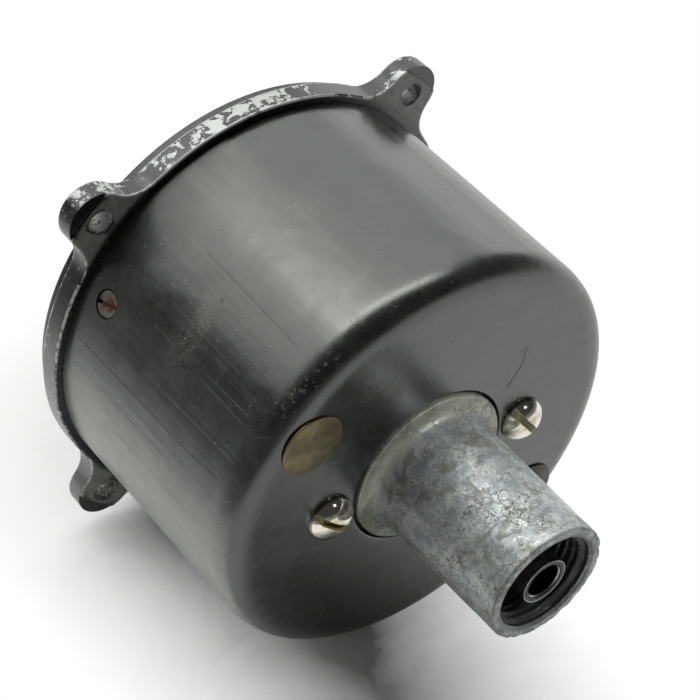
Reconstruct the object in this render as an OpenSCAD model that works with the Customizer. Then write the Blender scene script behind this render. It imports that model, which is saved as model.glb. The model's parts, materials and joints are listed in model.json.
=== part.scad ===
// Panel tachometer with a magnetic drag movement in a round case, millimetres.
// The dial faces -Y, the drive neck points to +Y and +Z is the top of the dial.
// The origin is the centre of the four panel holes, on the ears' front face.

/* [Mounting ring] */
// Distance of the panel holes outside the ring's edge
ear_reach = 3.45; // [3:0.05:5]
// Diameter of each panel hole
ear_hole_d = 4.1; // [3.2:0.1:5]
// Radius of each ear round its hole
ear_r = 5.5; // [4.6:0.1:6.5]
// Radius of the hollow that blends an ear into the ring
ear_fillet_r = 6; // [4:0.5:8]
// How far the ring's edge stands out past the case
ring_ledge = 1.6; // [1.2:0.1:2.4]
// Thickness of the ring and its ears
ring_t = 4; // [3:0.1:6]
// How far past the panel holes' centres the ears' rear faces are turned flat
ear_turn_reach = 3.15; // [2.4:0.05:4]
// Depth of the step past the turned faces
ear_turn_depth = 0.4; // [0.2:0.1:0.8]
// Width of the step from the ring's edge in to the lip that enters the panel
lip_step = 1.3; // [0.8:0.1:3]
// How far the lip stands in front of the ears
lip_h = 2.4; // [1.6:0.1:4]
// Thickness of the lip's inner flange, in front of the glass
lip_flange_t = 1.2; // [0.8:0.1:2]
// How far the lip's inner flange laps over the glass
lip_lap = 1.5; // [1:0.1:2.5]
// How far the skirt reaches into the case
skirt_len = 11; // [9:0.5:16]
// Wall of the skirt
skirt_wall = 1.8; // [1.4:0.1:2.6]

/* [Case] */
// Outer diameter of the case
case_d = 78.8; // [77:0.2:81]
// Length of the case, from the ring to its rear face
case_len = 48.9; // [47:0.1:58]
// Wall of the case
case_wall = 1.6; // [1.2:0.1:2.4]
// Outer radius of the case's rear corner
case_corner_r = 5; // [3:0.1:8]
// Distance of the side screws from the ring
side_screw_setback = 5.8; // [4:0.1:7]
// Angle of the first side screw, from +X towards +Z
side_screw_angle = 30; // [20:1:40]
// Head diameter of the side screws
side_screw_head_d = 4.5; // [3.6:0.1:5]
// Shank diameter of the side screws
side_screw_d = 2.4; // [2:0.1:2.8]
// Distance of the access plugs' centres inside the case's outer wall
plug_inset = 8.2; // [7.4:0.1:11]
// Diameter of an access plug's cap
plug_cap_d = 11.1; // [9:0.1:12]
// Height of an access plug's cap
plug_cap_h = 0.9; // [0.6:0.1:1.6]
// Thickness of an access plug's rim
plug_rim_t = 0.35; // [0.2:0.05:0.5]
// Diameter of an access plug's stem
plug_stem_d = 8; // [6:0.1:8.4]

/* [Drive neck] */
// Diameter of the collar that fills the case's rear hole
collar_d = 29.2; // [27:0.2:30]
// Gap between the collar and the edge of its hole
collar_gap = 0.5; // [0.3:0.1:0.8]
// How far the collar stands out of the case
collar_rise = 0.5; // [0.2:0.1:1.5]
// Diameter of the neck at its root
neck_root_d = 22.9; // [22:0.1:25]
// Diameter of the neck at its mouth
neck_mouth_d = 22.2; // [21:0.1:24]
// Length of the neck, from the case's rear face to its mouth
neck_reach = 30.1; // [26:0.1:40]
// Radius of the fillet at the neck's root
neck_fillet_r = 1; // [0.5:0.1:1.4]
// Diameter of the threaded mouth, at the bottom of its thread
mouth_d = 18; // [16:0.1:19]
// Depth of the threaded mouth
mouth_depth = 19; // [14:0.5:22]
// Thickness of the drive housing's flange inside the case
flange_t = 3.2; // [2.4:0.1:4.5]
// How far the flange laps past the collar, under the case's rear wall
flange_lap = 3.4; // [2.4:0.1:5]
// Radius of the flange's two ends
flange_end_r = 6.5; // [5:0.1:8]
// Thickness of the gasket under the case's rear wall
gasket_t = 0.8; // [0.5:0.1:1.5]
// Diameter of the bearing boss inside the case
boss_d = 18; // [16:0.2:22]
// Thickness of the ribs between the boss and the flange
rib_t = 1.6; // [1:0.1:3]
// Distance of the ribs' outer ends inside the flange's edge
rib_inset = 3; // [2:0.1:6]
// Length of the ribs along the boss
rib_len = 9; // [4:0.5:12]

// Chamfer at the edges of the mouth
mouth_chamfer = 0.5; // [0.2:0.1:0.8]

/* [Rear screws] */
// Distance from the collar's hole to the rear screws' heads
screw_margin = 0.6; // [0.3:0.1:2]
// Head diameter of the rear screws
rear_head_d = 8.4; // [7:0.1:9]
// Height of the rear screws' round heads
rear_head_h = 3; // [2:0.1:3.6]
// Shank diameter of the rear screws
rear_screw_d = 3.9; // [3:0.1:4.2]
// Width of the slot in the rear screws
rear_slot_w = 1.1; // [0.8:0.1:1.6]
// Depth of the slot in the rear screws
rear_slot_depth = 1.5; // [0.8:0.1:1.8]

/* [Glass and dial] */
// Thickness of the rubber gasket in front of the glass
glass_gasket_t = 0.5; // [0.3:0.1:1]
// Thickness of the dial glass
glass_t = 2; // [1.5:0.1:3]
// Distance from the glass to the dial
dial_depth = 5.1; // [4.8:0.1:6]
// Wall of the spacer ring between the glass and the dial
spacer_wall = 1.4; // [1:0.1:2.5]
// Thickness of the dial plate
dial_t = 1; // [0.6:0.1:1.5]
// Distance between the two dial screws
dial_screw_span = 24; // [22:0.5:27]
// Head diameter of the dial screws
dial_head_d = 3.4; // [2.6:0.1:4]
// Shank diameter of the dial screws
dial_screw_d = 1.9; // [1.4:0.1:2.2]

/* [Pointer] */
// Distance from the axis to the pointer's tip
pointer_reach = 27; // [22:0.5:31]
// Width of the pointer at its root
pointer_root_w = 2.2; // [1.6:0.1:3]
// Width of the pointer near its tip
pointer_tip_w = 0.9; // [0.6:0.1:1.4]
// Thickness of the pointer
pointer_t = 0.5; // [0.3:0.05:0.8]
// Height of the pointer over the dial
pointer_lift = 1.6; // [1.4:0.1:1.9]
// Distance from the axis to the centre of the counterweight
tail_reach = 6.6; // [5:0.1:7]
// Radius of the counterweight on the pointer's tail
tail_r = 2.6; // [1.5:0.1:3]
// Diameter of the pointer's cap
pointer_cap_d = 6.4; // [5:0.1:8]
// Height of the pointer's cap
pointer_cap_h = 1.3; // [1:0.1:1.6]
// Sweep of the pointer from zero to full scale, degrees
sweep = 270; // [240:5:300]
// Distance from the sweep of the pointer's tail to the two stop pins
stop_pin_gap = 1.8; // [0.5:0.1:3]
// Diameter of the stop pins
stop_pin_d = 1.2; // [0.8:0.1:1.6]

/* [Movement] */
// Thickness of the front bridge
bridge_t = 2.5; // [2:0.1:3.2]
// Width of the bridge's arms
bridge_w = 10; // [9:0.5:12]
// Wall of the bridge's middle, outside the hairspring's stud
stud_margin = 0.9; // [0.6:0.1:2]
// Diameter of the two frame pillars
pillar_d = 7; // [6.4:0.1:7.6]
// Head diameter of the bridge screws
bridge_head_d = 5.7; // [4.6:0.1:6]
// Shank diameter of the bridge screws
bridge_screw_d = 2.9; // [2:0.1:3.2]
// Diameter of the pointer spindle
spindle_d = 1.6; // [1.2:0.1:2]
// Diameter of the pivot at the spindle's rear end
pivot_d = 0.9; // [0.6:0.1:1]
// Outer diameter of the front jewel
front_jewel_d = 4.4; // [3.6:0.1:5]
// Distance from the bridge to the drag cup
cup_setback = 6.3; // [6:0.1:8]
// Gap between the flux ring and the pillars
pillar_gap = 1; // [0.4:0.1:2]
// Wall of the drag cup
cup_wall = 0.6; // [0.4:0.1:0.8]
// Depth of the drag cup
cup_depth = 10; // [7:0.5:11]
// Radial gap between the magnet and the drag cup
magnet_gap = 0.8; // [0.5:0.1:1.5]
// Thickness of the magnet
magnet_t = 8; // [6:0.5:9]
// Number of poles round the magnet
magnet_poles = 6; // [4:2:10]
// Radial gap between the drag cup and the flux ring
flux_gap = 0.8; // [0.5:0.1:1]
// Wall of the flux ring
flux_wall = 1.6; // [1:0.1:1.8]
// Diameter of the drive shaft in its bushes
shaft_d = 7; // [6:0.1:7.6]
// Outer diameter of the drive shaft's socket
socket_d = 8.4; // [8:0.1:9.6]
// Diameter of the socket's bore
socket_bore_d = 6.1; // [5:0.1:6.6]
// Depth of the socket's round bore
socket_bore_depth = 8; // [5:0.5:9]
// Width of the square hole beyond the round bore
square_w = 3.4; // [2.6:0.1:3.5]
// Chamfer at the socket's mouth
socket_chamfer = 0.4; // [0.2:0.1:0.6]
// Depth of the square hole
square_depth = 8; // [4:0.5:8]
// How far the socket's end lies inside the mouth
socket_inset = 0.6; // [0.2:0.1:4]
// Outer diameter of the shaft bushes
bush_d = 11; // [9.6:0.1:12]
// Length of each shaft bush
bush_len = 7; // [5:0.5:9]
// Number of turns of the hairspring
spring_turns = 4.5; // [3.5:1:5.5]
// Distance from the axis to the hairspring's stud
stud_reach = 7.6; // [6.6:0.1:7.9]
// Thickness of the hairspring's ribbon
spring_t = 0.2; // [0.1:0.05:0.25]
// Height of the hairspring's ribbon
spring_h = 1; // [0.6:0.1:1.2]

/* [Hidden] */
$fn = 96;

// Clearances
fit_gap = 0.05;        // between pieces that are pressed or screwed together
running_gap = 0.05;    // between a shaft and its bush, on the radius
slip_gap = 0.1;        // between pieces that slide together in assembly
end_gap = 0.1;         // end play of the drive shaft
through = 1;           // how far a cut runs past the face that it opens

// Radii and places along the axis that several pieces share
case_r = case_d / 2;
ring_r = case_r + ring_ledge;
lip_r = ring_r - lip_step;
skirt_r = case_r - case_wall - slip_gap;
pocket_r = skirt_r - skirt_wall;
window_r = pocket_r - lip_lap;
hole_circle_r = ring_r + ear_reach;
ear_turn_r = hole_circle_r + ear_turn_reach;
side_screw_count = 3;
side_screw_y = ring_t + side_screw_setback;
plug_reach = case_r - plug_inset;
plug_angles = [38, 220];

gasket_front_y = lip_flange_t - lip_h;
glass_front_y = gasket_front_y + glass_gasket_t;
glass_rear_y = glass_front_y + glass_t;
dial_front_y = glass_rear_y + dial_depth;
bridge_front_y = dial_front_y + dial_t;
bridge_rear_y = bridge_front_y + bridge_t;

case_rear_y = ring_t + case_len;
case_inner_y = case_rear_y - case_wall;
flange_rear_y = case_inner_y - gasket_t;
flange_front_y = flange_rear_y - flange_t;
collar_y = case_rear_y + collar_rise;
mouth_y = case_rear_y + neck_reach;
mouth_floor_y = mouth_y - mouth_depth;
collar_r = collar_d / 2;
flange_r = collar_r + flange_lap;
screw_x = collar_r + collar_gap + screw_margin + rear_head_d / 2;
rear_screw_span = 2 * screw_x;
rear_hole_d = rear_screw_d + 0.5;
screw_reach_in = 8;    // how far a rear screw enters its pillar
bridge_reach_in = 6;   // how far a bridge screw enters its pillar
rear_slot_angles = [53, 35];       // slots of the -X and the +X screw, from +X towards +Z
side_slot_angles = [107, 40, 75];  // slots of the side screws, from the ring's direction

// Hairspring and its collet and stud
collet_front_y = bridge_rear_y + 2.1;
collet_len = 1.6;
collet_r = 1.8;
stud_r = 0.9;
bridge_r = stud_reach + stud_r + stud_margin;
stud_slot_gap = 0.12;  // between the stud's slot and each side of the ribbon
spring_front_y = collet_front_y + (collet_len - spring_h) / 2;
spring_root_r = collet_r + fit_gap + spring_t / 2;
spring_steps = 26 * spring_turns;
spring_pitch = (stud_reach - spring_root_r) / spring_turns;
echo("least gap between hairspring turns", spring_pitch - spring_t);

// Radii of the movement, from the pillars inwards
flux_outer_r = screw_x - pillar_d / 2 - pillar_gap;
flux_inner_r = flux_outer_r - flux_wall;
cup_r = flux_inner_r - flux_gap;
magnet_r = cup_r - cup_wall - magnet_gap;

// Drag cup and its hub
cup_front_y = bridge_rear_y + cup_setback;
cup_disc_rear_y = cup_front_y + cup_wall;
cup_hub_d = 6.4;
cup_hub_t = 0.9;
cup_neck_d = 3.2;
cup_neck_rise = 1;     // how far the hub's neck stands behind the cup's disc

// Magnet, its hub and the front end of the drive shaft
magnet_front_y = cup_disc_rear_y + 2.1;
magnet_rear_y = magnet_front_y + magnet_t;
magnet_bore_r = 5.2;
pole_notch_r = 1.3;
hub_flange_t = 0.8;
hub_lap = 3;           // how far the hub's flange backs the magnet
hub_rear_y = magnet_rear_y + hub_flange_t;
stub_d = shaft_d - 1.4;
land_t = 0.8;          // wall of the shaft between the hub and the clip's groove
groove_gap = 0.05;     // between the clip and each side of its groove
clip_t = 0.7;
clip_gap = 0.15;       // between the clip and the front bush
clip_r = 5;
clip_mouth_w = stub_d - 0.8;
clip_front_y = hub_rear_y + land_t + groove_gap;
clip_rear_y = clip_front_y + clip_t;
pivot_jewel_r = 1.6;
jewel_t = 2;
pivot_hole_depth = 1.6;
pivot_len = 1.3;       // how far the pivot enters its jewel

// Flux ring and the boss that carries it
flux_base_t = 1.6;
spigot_d = 14;
spigot_front_y = clip_rear_y + clip_gap;
boss_front_y = spigot_front_y + flux_base_t;
flux_front_y = cup_disc_rear_y + 1;

// Rear end of the drive shaft
washer_t = 0.6;
socket_front_y = mouth_floor_y + end_gap + washer_t;
socket_end_y = mouth_y - socket_inset;
felt_gap = 0.3;        // between the felt and the shaft, on the radius
felt_inset = 3;        // between the felt and each bush
rib_edge = 0.8;        // height of a rib at its outer end

// Pointer
pointer_rear_y = dial_front_y - pointer_lift;
pointer_front_y = pointer_rear_y - pointer_t;
pointer_hub_d = 3.6;
pointer_hub_t = 0.9;
cap_hole_depth = 0.85; // hole in the cap's rear, which hides the spindle's end
rest_angle = 90 + sweep / 2;
stop_pin_reach = tail_reach + tail_r + stop_pin_gap + stop_pin_d / 2;
pin_clearance = 0.15;  // between a stop pin and the pointer's edge
pin_turn = asin((pointer_root_w / 2 + stop_pin_d / 2 + pin_clearance) / stop_pin_reach);
dial_hole_d = front_jewel_d + 0.8;
dial_head_h = 0.8;

// Placing helpers

// Turns what is drawn along local Z to run along +Y, from the given place
module along_y(y = 0, x = 0, z = 0) {
  translate([x, y, z]) rotate([-90, 0, 0]) children();
}

// Solid rod along Y between two places
module rod(d, y0, y1, x = 0, z = 0) {
  along_y(y0, x, z) cylinder(d = d, h = y1 - y0);
}

// Hollow rod along Y, open at both ends
module tube(d, bore_d, y0, y1, x = 0, z = 0) {
  difference() {
    rod(d, y0, y1, x, z);
    rod(bore_d, y0 - through, y1 + through, x, z);
  }
}

// Cone along Y, from the first diameter to the second
module taper(d0, d1, y0, y1, x = 0, z = 0) {
  along_y(y0, x, z) cylinder(d1 = d0, d2 = d1, h = y1 - y0);
}

// Repeats a piece at both ends of a span along X
module both_sides(span) {
  for (side = [-1, 1]) translate([side * span / 2, 0, 0]) children();
}

// Points the piece's +Z outwards from the axis, at each side screw
module at_side_screws() {
  for ($side_screw = [0:side_screw_count - 1])
    translate([0, side_screw_y, 0])
      rotate([0, 90 - side_screw_angle - $side_screw * 360 / side_screw_count, 0]) children();
}

// Low dome on a short rim, its base at the origin and its crown towards +Z
module dome(d, h, rim_t) {
  crown_h = h - rim_t;
  crown_r = (d * d / 4 + crown_h * crown_h) / (2 * crown_h);
  intersection() {
    cylinder(d = d, h = h);
    translate([0, 0, h - crown_r]) sphere(r = crown_r);
  }
}

// Mounting ring

// Ring with its four ears, seen along the axis
module ring_outline() {
  fillet_reach = ring_r + ear_fillet_r;
  ear_side = ear_r + ear_fillet_r;
  turn = acos((pow(fillet_reach, 2) + pow(hole_circle_r, 2) - pow(ear_side, 2))
    / (2 * fillet_reach * hole_circle_r));
  fillet_x = fillet_reach * cos(turn);
  fillet_y = fillet_reach * sin(turn);
  circle(r = ring_r);
  for (quarter = [0:3]) rotate(45 + 90 * quarter) {
    translate([hole_circle_r, 0]) circle(r = ear_r);
    for (side = [-1, 1]) difference() {
      polygon([[0, 0], [hole_circle_r, 0], [fillet_x, side * fillet_y]]);
      translate([fillet_x, side * fillet_y]) circle(r = ear_fillet_r);
    }
  }
}

module mounting_ring() color("dimgray") difference() {
  union() {
    along_y(0) linear_extrude(ring_t) ring_outline();
    rod(2 * lip_r, -lip_h, through);
    rod(2 * skirt_r, through, ring_t + skirt_len);
  }
  rod(2 * window_r, -lip_h - through, ring_t);
  rod(2 * pocket_r, gasket_front_y, ring_t + skirt_len + through);
  for (quarter = [0:3]) rotate([0, 45 + 90 * quarter, 0])
    rod(ear_hole_d, -through, ring_t + through, x = hole_circle_r);
  difference() {
    rod(2 * (ear_turn_r + 2 * ear_r), ring_t - ear_turn_depth, ring_t + through);
    rod(2 * ear_turn_r, ring_t - ear_turn_depth - through, ring_t + 2 * through);
  }
  at_side_screws() cylinder(d = side_screw_d + 2 * fit_gap, h = case_r);
}

// Glass and dial

module glass_gasket() color("black")
  tube(2 * (pocket_r - fit_gap), 2 * window_r, gasket_front_y, glass_front_y);

module dial_glass() color("lightcyan", 0.35)
  rod(2 * (pocket_r - slip_gap), glass_front_y, glass_rear_y);

module spacer_ring() color("darkslategray")
  tube(2 * (pocket_r - slip_gap), 2 * (pocket_r - slip_gap - spacer_wall),
    glass_rear_y, dial_front_y);

// Places a stop pin past each end of the sweep, clear of the pointer's edge
module at_stop_pins() {
  for (angle = [rest_angle + pin_turn, rest_angle - sweep - pin_turn])
    translate([stop_pin_reach * cos(angle), 0, stop_pin_reach * sin(angle)]) children();
}

module dial_plate() color("black") difference() {
  rod(2 * (pocket_r - slip_gap), dial_front_y, bridge_front_y);
  rod(dial_hole_d, dial_front_y - through, bridge_front_y + through);
  both_sides(dial_screw_span)
    rod(dial_screw_d + 2 * slip_gap, dial_front_y - through, bridge_front_y + through);
  at_stop_pins()
    rod(stop_pin_d + 2 * fit_gap, dial_front_y - through, bridge_front_y + through);
}

module dial_screws() color("silver") both_sides(dial_screw_span) {
  difference() {
    along_y(dial_front_y) mirror([0, 0, 1]) dome(dial_head_d, dial_head_h, dial_head_h / 2);
    translate([0, dial_front_y - dial_head_h, 0])
      cube([dial_head_d + through, dial_head_h, 0.5], center = true);
  }
  rod(dial_screw_d, dial_front_y, bridge_rear_y - 0.4);
}

module stop_pins() color("silver") at_stop_pins()
  rod(stop_pin_d, pointer_front_y - 0.6, bridge_front_y);

// Case

// Half section of the drawn case, from the axis outwards and along Y
module case_section(r, y1, corner) {
  square([r - corner, y1]);
  square([r, y1 - corner]);
  translate([r - corner, y1 - corner]) circle(r = corner);
}

// Solid with the case's shape, closed at the rear, its front at the given place
module case_blank(r, y0, y1, corner)
  along_y(y0) rotate_extrude() intersection() {
    case_section(r, y1 - y0, corner);
    square([r, y1 - y0]);
  }

module at_plugs()
  for (angle = plug_angles)
    translate([plug_reach * cos(angle), 0, plug_reach * sin(angle)]) children();

module case() color("#2f3130") difference() {
  inner_corner = max(case_corner_r - case_wall, 0.5);
  case_blank(case_r, ring_t, case_rear_y, case_corner_r);
  case_blank(case_r - case_wall, ring_t - through, case_inner_y, inner_corner);
  rod(collar_d + 2 * collar_gap, case_inner_y - through, case_rear_y + through);
  both_sides(rear_screw_span)
    rod(rear_hole_d, case_inner_y - through, case_rear_y + through);
  at_plugs() rod(plug_stem_d + 2 * slip_gap, case_inner_y - through, case_rear_y + through);
  at_side_screws() side_screw(slip_gap, through);
}

// Countersunk screw along the local +Z, widened and raised for the hole that takes it
module side_screw(wider = 0, above = 0) {
  head_h = (side_screw_head_d - side_screw_d) / 2;
  face_z = case_r - 0.15;
  translate([0, 0, pocket_r + 0.1])
    cylinder(d = side_screw_d + 2 * wider, h = face_z - pocket_r);
  translate([0, 0, face_z - head_h])
    cylinder(d1 = side_screw_d + 2 * wider, d2 = side_screw_head_d + 2 * wider, h = head_h);
  if (above > 0) translate([0, 0, face_z - 0.01])
    cylinder(d = side_screw_head_d + 2 * wider, h = above);
}

module side_screws() color("peru") at_side_screws() difference() {
  side_screw();
  translate([0, 0, case_r]) rotate(side_slot_angles[$side_screw])
    cube([side_screw_head_d + through, 0.7, 1.3], center = true);
}

module access_plugs() color("darkkhaki") at_plugs() {
  along_y(case_rear_y) dome(plug_cap_d, plug_cap_h, plug_rim_t);
  rod(plug_stem_d, case_inner_y - 0.4, case_rear_y);
}

// Drive housing

// Round flange with an ear at each side, seen along the axis
module flange_outline() {
  circle(r = flange_r);
  square([rear_screw_span, 2 * flange_end_r], center = true);
  for (side = [-1, 1]) translate([side * screw_x, 0]) circle(r = flange_end_r);
}

// Hollow fillet where the neck meets the collar
module neck_fillet() {
  root_r = neck_root_d / 2;
  along_y(collar_y) rotate_extrude() difference() {
    translate([root_r - 0.3, -0.2]) square([neck_fillet_r + 0.3, neck_fillet_r + 0.2]);
    translate([root_r + neck_fillet_r, neck_fillet_r]) circle(r = neck_fillet_r);
  }
}

module drive_housing() color("slategray") difference() {
  union() {
    taper(neck_root_d, neck_mouth_d, collar_y, mouth_y);
    neck_fillet();
    rod(collar_d, flange_front_y, collar_y);
    along_y(flange_front_y) linear_extrude(flange_t) flange_outline();
    rod(boss_d, boss_front_y, flange_rear_y);
    rod(spigot_d, spigot_front_y, boss_front_y + through);
    for (quarter = [0:3]) rotate([0, 45 + 90 * quarter, 0])
      translate([0, flange_front_y, -rib_t / 2]) linear_extrude(rib_t)
        polygon([[0, flange_t / 2], [flange_r - rib_inset, flange_t / 2],
          [flange_r - rib_inset, -rib_edge], [boss_d / 2, -rib_len], [0, -rib_len]]);
  }
  rod(mouth_d, mouth_floor_y, mouth_y + through);
  taper(mouth_d, mouth_d + 2 * mouth_chamfer, mouth_y - mouth_chamfer, mouth_y + 0.01);
  rod(bush_d + 2 * fit_gap, spigot_front_y - through, mouth_floor_y + through);
  both_sides(rear_screw_span)
    rod(rear_hole_d, flange_front_y - through, flange_rear_y + through);
}

module neck_gasket() color("black")
  along_y(flange_rear_y) linear_extrude(gasket_t) difference() {
    flange_outline();
    circle(d = collar_d + 2 * slip_gap);
    both_sides(rear_screw_span) circle(d = rear_hole_d);
  }

module rear_screws() color("lightgray") for (i = [0, 1]) {
  x = (2 * i - 1) * screw_x;
  difference() {
    along_y(case_rear_y, x) dome(rear_head_d, rear_head_h, 0.3);
    translate([x, case_rear_y + rear_head_h, 0]) rotate([0, -rear_slot_angles[i], 0])
      cube([rear_head_d + through, 2 * rear_slot_depth, rear_slot_w], center = true);
  }
  rod(rear_screw_d, flange_front_y - screw_reach_in, case_rear_y, x = x);
}

module front_bush() color("darkgoldenrod")
  tube(bush_d, shaft_d + 2 * running_gap, spigot_front_y, spigot_front_y + bush_len);

module rear_bush() color("darkgoldenrod")
  tube(bush_d, shaft_d + 2 * running_gap, mouth_floor_y - bush_len, mouth_floor_y);

module oil_felt() color("tan")
  tube(bush_d, shaft_d + 2 * felt_gap, spigot_front_y + bush_len + felt_inset,
    mouth_floor_y - bush_len - felt_inset);

// Movement frame

module frame_pillars() color("goldenrod") both_sides(rear_screw_span) difference() {
  rod(pillar_d, bridge_rear_y, flange_front_y);
  rod(rear_screw_d + 2 * fit_gap, flange_front_y - screw_reach_in - 1, flange_front_y + through);
  rod(bridge_screw_d + 2 * fit_gap, bridge_rear_y - through, bridge_rear_y + bridge_reach_in + 1);
}

module front_bridge() color("goldenrod") difference() {
  along_y(bridge_front_y) linear_extrude(bridge_t) {
    circle(r = bridge_r);
    square([rear_screw_span, bridge_w], center = true);
    for (side = [-1, 1]) translate([side * screw_x, 0]) circle(d = bridge_w);
  }
  rod(front_jewel_d + 2 * fit_gap, bridge_front_y - through, bridge_rear_y + through);
  both_sides(rear_screw_span) bridge_screw(slip_gap, through);
  both_sides(dial_screw_span)
    rod(dial_screw_d + 2 * fit_gap, bridge_front_y - through, bridge_rear_y + through);
  rod(2 * stud_r + 2 * fit_gap, bridge_front_y - through, bridge_rear_y + through, z = stud_reach);
}

// Countersunk screw from the bridge's front face into a pillar, widened for its hole
module bridge_screw(wider = 0, above = 0) {
  head_h = (bridge_head_d - bridge_screw_d) / 2;
  taper(bridge_head_d + 2 * wider, bridge_screw_d + 2 * wider,
    bridge_front_y + 0.1, bridge_front_y + 0.1 + head_h);
  rod(bridge_screw_d + 2 * wider, bridge_front_y + 0.1, bridge_rear_y + bridge_reach_in);
  if (above > 0) rod(bridge_head_d + 2 * wider, bridge_front_y - above, bridge_front_y + 0.11);
}

module bridge_screws() color("silver") both_sides(rear_screw_span) difference() {
  bridge_screw();
  translate([0, bridge_front_y, 0]) cube([bridge_head_d + through, 1.4, 0.8], center = true);
}

module front_jewel() color("firebrick")
  tube(front_jewel_d, spindle_d + 2 * running_gap, bridge_front_y, bridge_rear_y + 0.4);

module hairspring_stud() color("silver") difference() {
  rod(2 * stud_r, bridge_front_y + 0.4, spring_front_y + spring_h + 0.3, z = stud_reach);
  translate([0, spring_front_y + spring_h / 2, stud_reach])
    cube([2 * stud_r + through, spring_h + 2 * through, spring_t + 2 * stud_slot_gap],
      center = true);
}

module flux_ring() color("gray") difference() {
  rod(2 * flux_outer_r, flux_front_y, boss_front_y);
  rod(2 * flux_inner_r, flux_front_y - through, spigot_front_y);
  rod(spigot_d + 2 * fit_gap, spigot_front_y - through, boss_front_y + through);
}

// Drive

module drive_shaft() color("lightsteelblue") difference() {
  union() {
    rod(stub_d, magnet_front_y, hub_rear_y + through);
    rod(shaft_d, hub_rear_y, socket_front_y + through);
    rod(socket_d, socket_front_y, socket_end_y);
  }
  rod(2 * pivot_jewel_r + 2 * fit_gap, magnet_front_y - through, magnet_front_y + jewel_t);
  tube(shaft_d + 2 * through, stub_d, clip_front_y - groove_gap, clip_rear_y + groove_gap);
  rod(socket_bore_d, socket_end_y - socket_bore_depth, socket_end_y + through);
  taper(socket_bore_d, socket_bore_d + 2 * socket_chamfer, socket_end_y - socket_chamfer,
    socket_end_y + 0.01);
  translate([0, socket_end_y - socket_bore_depth - square_depth / 2 + 0.5, 0])
    cube([square_w, square_depth + 1, square_w], center = true);
}

module thrust_washer() color("goldenrod")
  tube(bush_d - 0.8, shaft_d + 2 * slip_gap, mouth_floor_y + end_gap, socket_front_y);

module retaining_clip() color("silver") difference() {
  tube(2 * clip_r, stub_d + 2 * fit_gap, clip_front_y, clip_rear_y);
  translate([-clip_mouth_w / 2, clip_front_y - through, -2 * clip_r])
    cube([clip_mouth_w, clip_t + 2 * through, 2 * clip_r]);
}

module magnet_hub() color("goldenrod") difference() {
  union() {
    rod(2 * magnet_bore_r, magnet_front_y, hub_rear_y);
    rod(2 * magnet_bore_r + 2 * hub_lap, magnet_rear_y, hub_rear_y);
  }
  rod(stub_d + 2 * fit_gap, magnet_front_y - through, hub_rear_y + through);
}

module magnet() color("dimgray") difference() {
  tube(2 * magnet_r, 2 * (magnet_bore_r + fit_gap), magnet_front_y, magnet_rear_y);
  for (i = [0:magnet_poles - 1]) rotate([0, (i + 0.5) * 360 / magnet_poles, 0])
    rod(2 * pole_notch_r, magnet_front_y - through, magnet_rear_y + through, x = magnet_r);
}

module pivot_jewel() color("firebrick") difference() {
  rod(2 * pivot_jewel_r, magnet_front_y, magnet_front_y + jewel_t);
  rod(pivot_d + 2 * running_gap, magnet_front_y - through, magnet_front_y + pivot_hole_depth);
}

// Pointer and drag cup

module spindle() color("silver") {
  shoulder_y = magnet_front_y - 0.4;
  rod(spindle_d, pointer_front_y - cap_hole_depth + fit_gap, shoulder_y);
  rod(pivot_d, shoulder_y, magnet_front_y + pivot_len);
}

module drag_cup() color("gainsboro") difference() {
  rod(2 * cup_r, cup_front_y, cup_front_y + cup_depth);
  rod(2 * (cup_r - cup_wall), cup_disc_rear_y, cup_front_y + cup_depth + through);
  rod(cup_neck_d + 2 * fit_gap, cup_front_y - through, cup_disc_rear_y + through);
}

module cup_hub() color("goldenrod") difference() {
  union() {
    rod(cup_hub_d, cup_front_y - cup_hub_t, cup_front_y);
    rod(cup_neck_d, cup_front_y - cup_hub_t, cup_disc_rear_y + cup_neck_rise);
  }
  rod(spindle_d + 2 * fit_gap, cup_front_y - cup_hub_t - through,
    cup_disc_rear_y + cup_neck_rise + through);
}

module spring_collet() color("goldenrod")
  tube(2 * collet_r, spindle_d + 2 * fit_gap, collet_front_y, collet_front_y + collet_len);

// Radius of the hairspring's middle line, as a share of its way from the collet to the stud
function spring_r(share) = spring_root_r + (stud_reach - spring_root_r) * share;
function spring_point(share, side) =
  let (angle = -90 + 360 * spring_turns * (share - 1), r = spring_r(share) + side * spring_t / 2)
  r * [cos(angle), sin(angle)];

module hairspring() color("silver") along_y(spring_front_y) linear_extrude(spring_h)
  polygon([
    for (i = [0:spring_steps]) spring_point(i / spring_steps, 1),
    for (i = [0:spring_steps]) spring_point(1 - i / spring_steps, -1)]);

module pointer_hub() color("goldenrod")
  tube(pointer_hub_d, spindle_d + 2 * fit_gap, pointer_rear_y, pointer_rear_y + pointer_hub_t);

// Blade and tail, drawn from the axis towards local +X
module pointer_outline() {
  shoulder = pointer_reach - 4;
  circle(r = pointer_root_w);
  polygon([[0, -pointer_root_w / 2], [shoulder, -pointer_tip_w / 2], [pointer_reach, 0],
    [shoulder, pointer_tip_w / 2], [0, pointer_root_w / 2]]);
  translate([-tail_reach, -pointer_root_w / 2]) square([tail_reach, pointer_root_w]);
  translate([-tail_reach, 0]) circle(r = tail_r);
}

module pointer() color("ivory") difference() {
  rotate([0, -rest_angle, 0])
    along_y(pointer_front_y) linear_extrude(pointer_t) pointer_outline();
  rod(spindle_d + 2 * fit_gap, pointer_front_y - through, pointer_rear_y + through);
}

module pointer_cap() color("black") difference() {
  along_y(pointer_front_y) mirror([0, 0, 1]) dome(pointer_cap_d, pointer_cap_h, 0.4);
  rod(spindle_d + 2 * fit_gap, pointer_front_y - cap_hole_depth, pointer_front_y + through);
}

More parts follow.
